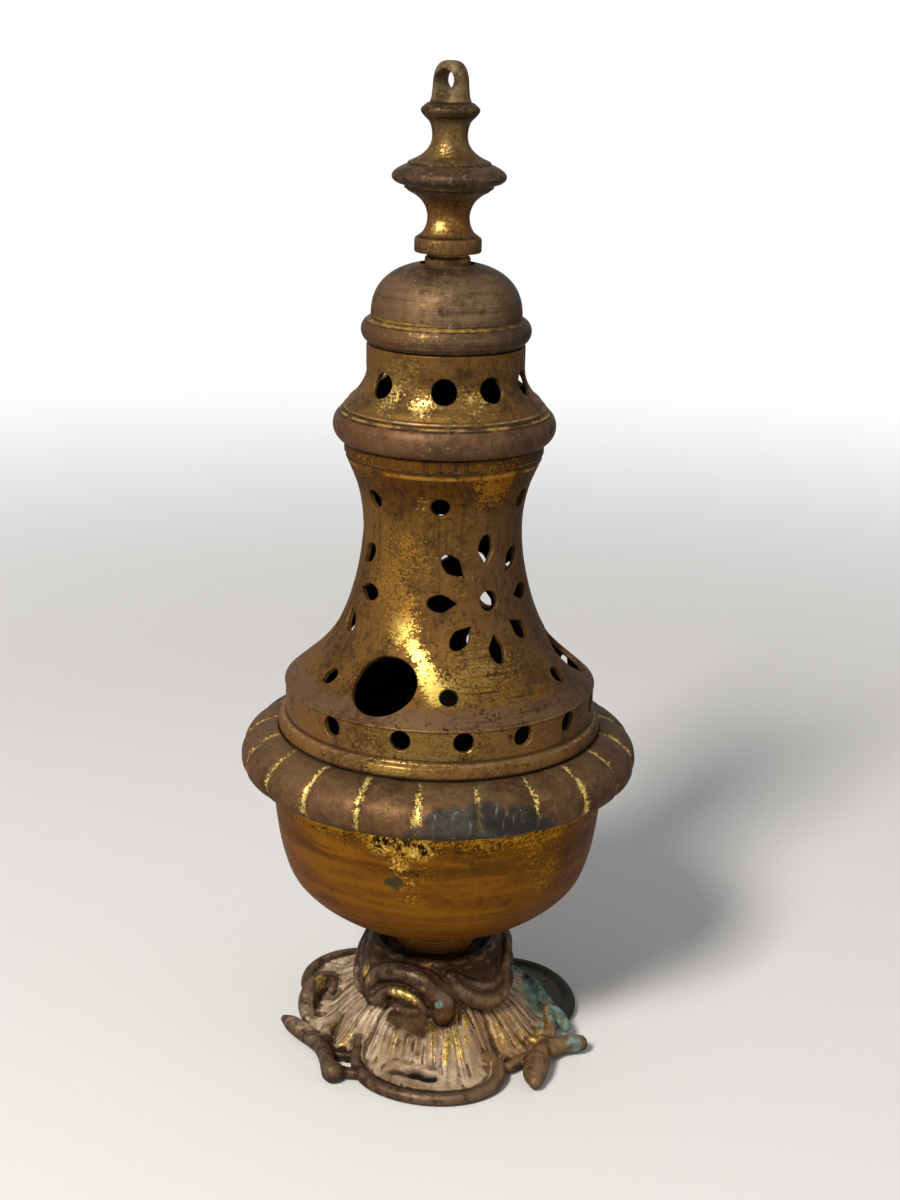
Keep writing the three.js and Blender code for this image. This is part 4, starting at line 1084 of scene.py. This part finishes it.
# %% Turret finish
def turret_finish():
    finish = Finish("worn_gilt_turret", seat)
    torus_zone = finish.rise(8.4, 7.9)
    patch = finish.spots((-17, 21.5, 11.3, 6), (-35, 21, 12, 10, 0.55), (24, 22, 11.5, 10, 0.5))
    gilt = finish.gilding(0.36 + patch * 0.17 - torus_zone * 0.2)
    worn = finish.noise(330, 6, 0.7)
    bright = (finish.noise(500, 6, 0.7) * 0.7 + patch * 0.6).step(0.42, 0.85)
    # pale specks on the front of the torus
    pale_specks = finish.noise(900, 4, 0.7).step(0.62, 0.68) * torus_zone * finish.near(2, 27, 5, 26)
    tint = finish.painted(
        finish.ground((125, 66, 18), (42, 21, 8), 0.47),
        (torus_zone, (118, 64, 32), (56, 31, 16), 0.5),
        (finish.near(-50, 26, 2, 22) * torus_zone * 0.4, (130, 50, 16)),
        (worn.step(0.54, 0.66) * torus_zone * 0.35, (170, 105, 60)),
        (gilt, finish.mix(bright, dull_gold, bright_gold)),
        (finish.specks(0.05 - torus_zone * 0.03), (26, 14, 7)),
        (finish.rise(20.5, turret_tall) * worn.step(0.4, 0.55) * 0.6, (115, 48, 11)),
        (finish.line(7.45, 0.34) * finish.noise(150, 5).step(0.42, 0.55), gold),
        (finish.line(8.5, 0.25) * worn.step(0.38, 0.6) * 0.7, (280, 190, 100)),
        (finish.lines((8, 0.35), (7, 0.3), (0.1, 0.4)) * worn.step(0.36, 0.5), dark_brown),
        (pale_specks * 0.7, pale_speck_tint))
    rough = 0.42 - gilt * 0.08 + finish.noise(500, 4) * 0.10
    return finish.done(tint, rough, finish.surface(0.7) + worn * 0.5 + gilt * 0.3, 0.055,
                       0.45 + gilt * 0.45)


# %% [markdown]
# ### Bowl and brown bronze
# The bowl is amber, with black specks under the rim and its gilding left in a speckled patch at the
# front; its right side gets painted shade and a painted sheen. The rim and the cap are brown, with
# painted shade on the rim's right and on both sides of the cap. The boss is painted a brighter amber
# than its metal, as light reflected up under the bowl. On the rim the gold stays in the grooves, whose
# places the shader works out from the azimuth, and a dark stain covers two lobes at the front.

# %% Bowl finish
def bowl_finish():
    finish = Finish("bowl_gilt")
    streaks = finish.drawn_out((45, 45, 420), 5, 0.65)
    patch = finish.spots((-9, 42, 60, 7, 0.55), (-18, 42.3, 70.5, 6), (-11, 42.3, 70.5, 7.5),
                         (-5, 42.3, 69.5, 6), (-12, 42.3, 65, 5))
    under_rim = finish.rise(65.5, 72)
    # painted shade and sheen on the right: a darker brown, and a little more gold
    right = finish.near(40, 42.2, 60, 26)
    gilt = finish.gilding(0.30 + patch * 0.22 + under_rim * 0.19 + right * 0.06)
    bright = (finish.noise(500, 6, 0.7) * 1.2 + patch * 0.35).step(0.62, 1.16)
    spot = finish.near(-14, 41.4, 60, 4.8) * 0.5 + finish.noise(800, 6, 0.75)
    tint = finish.painted(
        finish.ground((150, 55, 5.5), (75, 29, 4), 0.44),
        (streaks.step(0.46, 0.60) * 0.6, (210, 83, 6)),
        (streaks.step(0.60, 0.50) * finish.band(61, 67, 3) * 0.55, (50, 20, 4)),
        (right * finish.noise(160, 5).step(0.40, 0.6) * 0.5, (105, 43, 4)),
        (gilt, finish.mix(bright, (330, 155, 14), (860, 550, 110))),
        (finish.specks(0.01 + under_rim * 0.07 + patch * 0.09), (20, 9, 3)),
        # painted shade on the right side
        (finish.painted_shade(0.3), dark_brown),
        (spot.step(0.78, 0.88) * 0.9, (30, 33, 19)))
    rough = 0.36 - gilt * 0.04 + finish.noise(400, 4) * 0.12
    return finish.done(tint, rough, finish.surface(0.5) + gilt * 0.4, 0.045, 0.5 + gilt * 0.4)


# %% Rim finish
def rim_finish():
    finish = Finish("rim_bronze")
    worn, fine, clouds = finish.noise(260, 6, 0.7), finish.noise(1300, 6, 0.78), finish.noise(60, 4)
    across = (((finish.turn() - first_groove) * (lobes / 360)).fraction() * 2 - 1).size()
    in_groove = across * 1.4 + worn * 0.45 + fine * 1.2 + clouds * 0.6
    gilt = in_groove.step(2.39, 2.46) * finish.rise(75, 76.8)
    stain = finish.spots((3, 49.5, 78, 10), (13, 50, 78.5, 11), (23, 50, 77.5, 10), (30, 49.5, 76, 6),
                         (-5, 49, 76, 6, 0.8))
    stain = (stain + worn * 0.6 + clouds * 0.2).step(0.60, 0.90)
    green = stain * finish.spots((5, 49.5, 80, 6), (14, 50, 76, 4)) * worn.step(0.44, 0.56)
    drips = finish.drawn_out((420, 420, 30), 4).step(0.60, 0.67)
    pale_specks = fine.step(0.64, 0.68) * stain.most(finish.near(-12, 50, 79, 7)).most(
        finish.near(-38, 49, 79, 12) * 0.6)
    tint = finish.painted(
        finish.ground((122, 61, 28), (50, 27, 14), 0.48),
        (finish.rise(80, 86.2) * finish.noise(150, 4).step(0.40, 0.6) * 0.6, (95, 66, 28)),
        (worn.step(0.54, 0.64) * 0.35, (180, 108, 58)),
        ((across + worn * 0.3).step(0.96, 1.14) * 0.45, dark_brown),
        (gilt, finish.mix(fine.step(0.42, 0.56), gold, (640, 460, 140))),
        (finish.gilding(0.30 + clouds * 0.04) * 0.8, dull_gold),
        # painted shade on the right side
        (finish.painted_shade(0.35), dark_brown),
        (stain * 0.9, (46, 40, 34), (17, 16, 15), 0.5),
        (green * 0.45, (62, 82, 62)),
        (stain * drips * 0.6, (150, 155, 130)),
        (pale_specks * 0.9, (420, 380, 300)),
        (finish.specks(0.0), (20, 12, 8)))
    rough = 0.44 - gilt * 0.1 + stain * 0.15 + finish.noise(500, 4) * 0.10
    relief = worn * 1.3 + finish.pits(900) * 0.6 + pale_specks * 0.5 + gilt * 0.2
    return finish.done(tint, rough, relief, 0.085, 0.45 - stain * 0.35 + gilt * 0.4)


# %% Cap and boss finish
def cap_finish():
    finish = Finish("cap_bronze", cap_seat)
    torus_zone = finish.rise(6, 5.5)
    rings = finish.drawn_out((30, 30, 900), 3, 0.7)
    top = finish.rise(14.5, 18.6) * finish.noise(220, 5).step(0.38, 0.56)
    gilt = finish.gilding(0.27 + torus_zone * 0.02 + finish.near(-20, 18, 7.5, 12) * 0.10)
    groove = finish.line(5.75, 0.55).most(finish.line(6.1, 1.1) * finish.near(-45, 18.5, 6, 17))
    groove = groove * (finish.noise(160, 5, 0.7) + finish.near(-30, 19, 5.5, 24) * 0.3).step(0.52, 0.66)
    seams = finish.lines((6.2, 0.35), (5.3, 0.3), (0.1, 0.4))
    spot = finish.near(-3, 18, 10, 2.0, 0.8) * finish.noise(500, 5).step(0.35, 0.55)
    tint = finish.painted(
        finish.ground((155, 98, 54), (60, 35, 18), 0.47),
        (torus_zone * 0.7, (98, 57, 31), (44, 25, 14), 0.48),
        (finish.near(-55, 18, 2, 20) * 0.5, (130, 50, 14)),
        (rings.step(0.52, 0.66) * 0.35, (190, 120, 60)),
        (rings.step(0.44, 0.36) * 0.4, dark_brown),
        (top * 0.8, dark_brown),
        (gilt.most(groove), finish.mix(finish.noise(600, 5).step(0.45, 0.6), dull_gold, gold)),
        (spot, dark_brown),
        (seams * finish.noise(330, 6, 0.7).step(0.36, 0.5) * 0.8, dark_brown),
        (finish.specks(0.01 + top * 0.05), (28, 16, 9)),
        # painted shade on the right side
        (finish.painted_shade(0.8), dark_brown),
        # painted shade on the left side, round azimuth -80
        ((finish.turn() + 80).size().step(60, 15) * 0.35, dark_brown),
        (finish.noise(800, 5, 0.75).step(0.63, 0.67) * 0.6, pale_speck_tint))
    rough = 0.42 + finish.noise(450, 4) * 0.12
    return finish.done(tint, rough, finish.surface(0.9, 1800), 0.055, 0.45 + gilt * 0.3)


def boss_finish():
    finish = Finish("boss_bronze")
    # The ground is painted brighter amber than the metal: painted light reflected up into the shade
    # under the bowl.
    tint = finish.mix(finish.gilding(0.33), finish.ground((380, 165, 36), (180, 78, 20)),
                      gold)
    return finish.done(tint, 0.46, finish.surface(0.6), 0.04, 0.6)


# %% [markdown]
# ### Finial, plain brass, iron and soot
# The finial has sharp lathe lines and gold left in its necks. The inside of the whole cover and the pan
# are black with soot, and the filed edges of the holes are bare metal.

# %% Finial finish
def finial_finish():
    finish = Finish("finial_bronze", fin_base)
    high_neck, low_neck = finish.band(20.5, 29.5, 2), finish.band(3.4, 14, 2)
    disc_zone, knop = finish.band(15.6, 20.3), finish.band(30.4, 34.6)
    collar, eye_zone = finish.rise(4.4, 3.2), finish.rise(34, 35.5)
    patch = finish.spots((-12, 6, 24, 4), (-28, 5.5, 6.4, 3.4))
    gilt = finish.gilding(0.30 + high_neck * 0.10 + low_neck * 0.04 - disc_zone * 0.06 + patch * 0.14)
    worn = finish.noise(330, 6, 0.7)
    bright = (worn * 0.6 + patch * 0.4).step(0.42, 0.75)
    seams = finish.lines((14.75, 0.5), (20.55, 0.45), (31.2, 0.5), (3.75, 0.45), (34.3, 0.5))
    pale_specks = finish.noise(700, 5, 0.75).step(0.57, 0.64) * (disc_zone * 0.7).most(0.45)
    tint = finish.painted(
        finish.ground((125, 78, 32), (40, 24, 11), 0.48),
        (high_neck * 0.6, (170, 98, 30), (70, 36, 12), 0.5),
        (low_neck * 0.8, (150, 54, 10), (45, 18, 6), 0.5),
        (disc_zone * 0.9, (100, 60, 38), (40, 23, 15), 0.5),
        (collar * 0.8, (120, 58, 22), (38, 19, 9), 0.48),
        (knop * worn.step(0.36, 0.56) * 0.85, (32, 19, 10)),
        (eye_zone * worn.step(0.42, 0.58) * 0.8, (165, 118, 62)),
        (eye_zone * worn.step(0.46, 0.34) * 0.8, (35, 24, 14)),
        (gilt, finish.mix(bright, dull_gold, bright_gold)),
        (seams * worn.step(0.34, 0.5) * 0.9, dark_brown),
        (finish.specks(0.04), (22, 13, 7)),
        # painted shade on the right side
        (finish.painted_shade(0.45), dark_brown),
        (pale_specks * 0.6, pale_speck_tint))
    rough = 0.40 + finish.noise(600, 4) * 0.12
    relief = finish.drawn_out((60, 60, 3600), 3, 0.7) * 1.1 + worn * 1.6 + finish.pits(2000) * 0.5
    return finish.done(tint, rough, relief, 0.085, 0.5 + gilt * 0.35)


# %% Inner finishes
def two_tones(finish, scale, detail, low, high, dark, light):
    return finish.mix(finish.noise(scale, detail).step(low, high), dark, light)


def brass_finish():
    finish = Finish("plain_brass")
    tint = two_tones(finish, 300, 5, 0.4, 0.6, (90, 50, 16), (200, 120, 40))
    return finish.done(tint, 0.42 + finish.noise(600, 4) * 0.12, finish.surface(0.9), 0.04, 0.8)


def edge_finish():
    finish = Finish("filed_edge")
    tint = two_tones(finish, 700, 5, 0.46, 0.62, (26, 18, 11), (120, 85, 48))
    return finish.done(tint, 0.45 + finish.noise(900, 3) * 0.1, finish.noise(1500, 3), 0.05, 0.6)


def soot_finish():
    finish = Finish("soot")
    tint = two_tones(finish, 130, 6, 0.45, 0.65, (4, 3.5, 3), (11, 9, 7))
    return finish.done(tint, 0.88 + finish.noise(300, 4) * 0.1, finish.noise(700, 6), 0.15, 0)


def iron_finish():
    finish = Finish("sooty_iron")
    ash = finish.noise(160, 7, 0.7).step(0.52, 0.66) * finish.rise(58, 50)
    tint = two_tones(finish, 90, 6, 0.42, 0.6, (10, 9, 8), (34, 26, 19))
    tint = finish.mix(ash * 0.8, tint, (220, 200, 175))
    return finish.done(tint, 0.74 + finish.noise(300, 4) * 0.2, finish.noise(500, 6) + ash, 0.2, 0.2)


# %% [markdown]
# ### Cast bronze
# The foot is grey-brown with pale grime. Gold stays on the ribs of the front lobe, with painted glints
# on some ribs and scrolls. The crown under the bowl is painted nearly black as the bowl's shadow, the
# rear right lobe gets painted shadow over its dark patina, and the deepest hollows are nearly black.
# Convex edges of the crown get a painted highlight where the metal is rubbed. On the right verdigris has
# run down to the leaf. The fine grooves between the ribs are too narrow for the mesh, so the shader
# draws them, with painted shade in them, where the marks say.

# %% Foot finish
def foot_finish():
    finish = Finish("cast_bronze")
    hollow, deep, ribbed = finish.mark("hollow"), finish.mark("deep"), finish.mark("ribbed")
    worn, fine, clouds = finish.noise(320, 7, 0.7), finish.noise(1100, 6, 0.75), finish.noise(70, 5)
    groove = ((finish.turn() * (rib_count / 360) + finish.mark("stray")).fraction() * 2 - 1).size()
    # painted shade in the drawn grooves between the ribs, which the mesh is too coarse to hold
    valley = (groove + worn * 0.4).step(0.50, 1.15) * ribbed
    grime = (ribbed * 0.55 + finish.mark("trough") * 0.85 + deep * 0.3 + worn * 0.75
             + clouds * 0.3).step(0.62, 1.05)
    shell = (finish.near(-75, 28, 8, 17) * 0.5 + worn * 0.8).step(0.5, 0.8)
    pale = finish.mix((clouds * 0.6 + worn * 0.4).step(0.40, 0.60), (260, 170, 100),
                      (580, 440, 290))
    brown_ribs = (finish.near(45, 27, 7, 24) * 1.5).most(finish.near(-8, 22, 11, 13) * 0.55)
    brown_ribs = brown_ribs * (worn + clouds * 0.4).step(0.40, 0.90)
    base = finish.painted(
        finish.mix((clouds * 0.5 + worn * 0.5).step(0.44, 0.56), (40, 23, 14),
                   (94, 58, 35)),
        ((worn * 0.9 - hollow * 0.25).step(0.56, 0.74) * 0.4, (180, 118, 70)),
        (grime.most(shell) * 0.85, pale),
        (finish.near(-16, 20, 15, 7) * (1 - ribbed) * 0.6, (170, 62, 20), (80, 34, 14)),
        (brown_ribs * 0.85, (280, 155, 62), (140, 74, 30)))
    bright = finish.near(68, 30, 8, 5)
    # Gold at these spots and on convex ribs: gilding that is left, and painted glints on ribs and
    # scrolls.
    face = finish.spots(
        (9, 25, 9, 12), (-20, 27, 8, 9, 0.6), (-62, 29, 3, 5, 1.1), (-57, 20.5, 19.5, 4.5),
        (-20, 21.5, 19, 8, 0.72), (58, 29, 5, 8, 0.95), (40, 26, 8, 11, 0.75), (78, 29, 6, 5),
        (-15, 20, 18, 24, 0.3), (5, 30, 6.5, 5), (14, 29, 7, 5), (68, 30, 8, 5, 1.2),
        (-54, 28.5, 4.5, 5.5, 0.85), (-101, 31, 8.5, 5, 0.62), (21, 19, 12, 7), (-34, 20, 20.7, 3),
        (-7, 20.5, 21.8, 3.5))
    gilt = ((0.5 - hollow * 0.4) * face + worn * 0.50 + fine * 0.35 - valley * 0.25).step(0.70, 0.84)
    # painted shadow of the bowl: the top of the crown nearly black
    crown_shadow = finish.rise(19.5, 23.5) * worn.step(0.28, 0.44)
    # painted highlight on the convex edges of the crown, where the metal is also rubbed
    rubbed_highlight = (worn - hollow * 0.6).step(0.94, 1.24) * finish.rise(10, 15) * (1 - ribbed)
    # painted shadow on the rear right lobe, over its dark patina
    far_lobe_shadow_and_patina = finish.spots((106, 35, 3, 17), (128, 33, 4, 18))
    green = finish.spots(
        (66, 40, 3, 8), (78, 34, 5, 12, 1.1), (96, 29, 8, 14, 1.1), (120, 27, 8, 10),
        (4.4, 22.8, 17.8, 3, 1.2), (-26, 20, 25.5, 6, 0.45))
    green = (green * 0.9 + worn * 0.8 + fine * 0.2 + hollow * 0.1 - bright * 0.4).step(0.96, 1.24)
    tint = finish.painted(
        base,
        (gilt, finish.mix(fine.step(0.44, 0.60), (280, 150, 35), bright_gold)),
        # painted shade in the drawn grooves
        (valley * 0.45, (90, 55, 31)),
        # painted shade under the bowl: darker brown above the height of 12 mm
        (finish.rise(12, 18) * (1 - gilt) * 0.55, (50, 25, 12)),
        (crown_shadow * 0.95, (48, 23, 10), (14, 8, 5)),
        (finish.near(-14, 15, 24, 10) * worn.step(0.40, 0.60) * 0.7,
         (200, 85, 22), (70, 30, 10)),
        (rubbed_highlight * 0.5, (180, 120, 75)),
        (finish.near(4, 23.5, 14.5, 5.2, 0.4) * 0.9, (85, 36, 14), (40, 18, 9)),
        ((far_lobe_shadow_and_patina + worn * 0.5).step(0.42, 0.6) * 0.95, (18, 21, 16)),
        ((hollow + worn * 0.5).step(0.95, 1.35) * 0.9, dark_brown),
        (green * 0.85, two_tones(finish, 260, 5, 0.42, 0.6, (85, 115, 85), (160, 300, 265))),
        (finish.specks(0.0), (30, 19, 12)),
        (finish.mark("slit"), (8, 6, 5)))
    rough = 0.40 + green * 0.25 + grime * 0.16 - gilt * 0.1 - rubbed_highlight * 0.1
    relief = worn * 1.5 + fine * 0.5 + finish.pits(1100) * 0.5 - valley * 0.7
    return finish.done(tint, rough, relief, 0.13, 0.5 - green * 0.45 - grime * 0.3 + gilt * 0.35)


# %% Put the finishes on
soot, filed_edge, plain_brass = soot_finish(), edge_finish(), brass_finish()
for piece, *materials in (
        (bell, bell_finish(), soot, filed_edge), (turret, turret_finish(), soot, filed_edge),
        (cap, cap_finish(), soot), (bowl, bowl_finish(), soot), (boss, boss_finish()),
        (rim, rim_finish()), (pan, iron_finish()), (fin, finial_finish()), (spacer, plain_brass),
        (foot, foot_finish())):
    slots = piece.data.materials
    while len(slots) < len(materials):
        slots.append(None)
    for place, material in enumerate(materials):
        slots[place] = material
for node in ("foot_nut", "foot_washer", "tie_bolt", "dome_washer", "finial_nut"):
    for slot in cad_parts[node].material_slots:
        slot.material = plain_brass
print("materials:", [material.name for material in bpy.data.materials])

# %% [markdown]
# ## Camera, light and floor
# The camera was found by fitting the ellipses of the rims to the photograph: its place, its three
# angles in degrees, and its focal length in pixels of the photograph. The key light stands at the
# front left, where the shadow says that the sun was.

# %% Camera
eye = Vector((0, -456.91, 261.73)) * mm
heading, downward, roll = -0.279, 17.331, 1.184
focal_length, photo_height = 1902.04, 1200
camera_data = bpy.data.cameras.new("photo_camera")
camera = bpy.data.objects.new("photo_camera", camera_data)
bpy.context.collection.objects.link(camera)
camera.matrix_world = (Matrix.Translation(eye) @ Matrix.Rotation(math.radians(heading), 4, "Z")
                       @ Matrix.Rotation(math.radians(90 - downward), 4, "X")
                       @ Matrix.Rotation(math.radians(roll), 4, "Z"))
camera_data.sensor_fit = "VERTICAL"
camera_data.sensor_height = 36
camera_data.lens = 36 * focal_length / photo_height
camera_data.clip_start = 0.01
bpy.context.scene.camera = camera
bpy.context.scene.view_settings.view_transform = "Standard"

# %% Light and floor
def floor_finish():
    finish = Finish("pale_floor")
    finish.done((0.66, 0.65, 0.64, 1), 0.85, metal=0)
    away = finish.node("VectorMath", {"operation": "LENGTH"}, {0: finish.place}, output="Value")
    seen = finish.node("LightPath", output="Is Camera Ray")
    glow = finish.node("Emission", values={"Color": (1, 1, 1, 1), "Strength": 1.0}, output="Emission")
    plain = Value(finish.tree, finish.shader.outputs[0])
    mixed = finish.node("MixShader", values={0: away.step(0.25, 0.95) * seen, 1: plain, 2: glow})
    finish.tree.links.new(mixed.socket, finish.tree.nodes["Material Output"].inputs["Surface"])
    return finish.material


bpy.ops.object.select_all(action="DESELECT")
bpy.ops.mesh.primitive_circle_add(vertices=64, radius=12, fill_type="NGON", location=(0, 0, 0))
floor = bpy.context.object
floor.name = "pale_floor"
floor.data.materials.append(floor_finish())

# %% [markdown]
# The world is white to the camera and in what metal and glass mirror, and dimmer as light on the
# censer.

# %% World and lamps
world = bpy.data.worlds.new("studio")
bpy.context.scene.world = world
world.use_nodes = True
sky = world.node_tree
mirrored = add_node(sky, "LightPath", output="Is Glossy Ray")
mirrored = mirrored.most(add_node(sky, "LightPath", output="Is Transmission Ray"))
direct = mirrored.most(add_node(sky, "LightPath", output="Is Camera Ray"))
backdrop = sky.nodes["Background"]
backdrop.inputs["Color"].default_value = (1, 1, 1, 1)
sky.links.new((direct * 0.62 + 0.38).socket, backdrop.inputs["Strength"])


def lamp(name, azimuth, elevation, distance, size, power, tint=(1, 1, 1)):
    data = bpy.data.lights.new(name, "AREA")
    data.energy, data.size, data.color = power, size, tint
    light = bpy.data.objects.new(name, data)
    bpy.context.collection.objects.link(light)
    rise = math.radians(elevation)
    way = Vector((*around(azimuth, math.cos(rise)), math.sin(rise)))
    light.location = Vector((0, 0, 0.12)) + distance * way
    light.rotation_euler = (-way).to_track_quat("-Z", "Y").to_euler()


lamp("key", -30, 41, 1.3, 0.30, 23, (1, 0.97, 0.92))
lamp("fill", 75, 25, 1.6, 0.9, 1.5, (0.95, 0.97, 1))

# %% Update the view layer
bpy.context.view_layer.update()
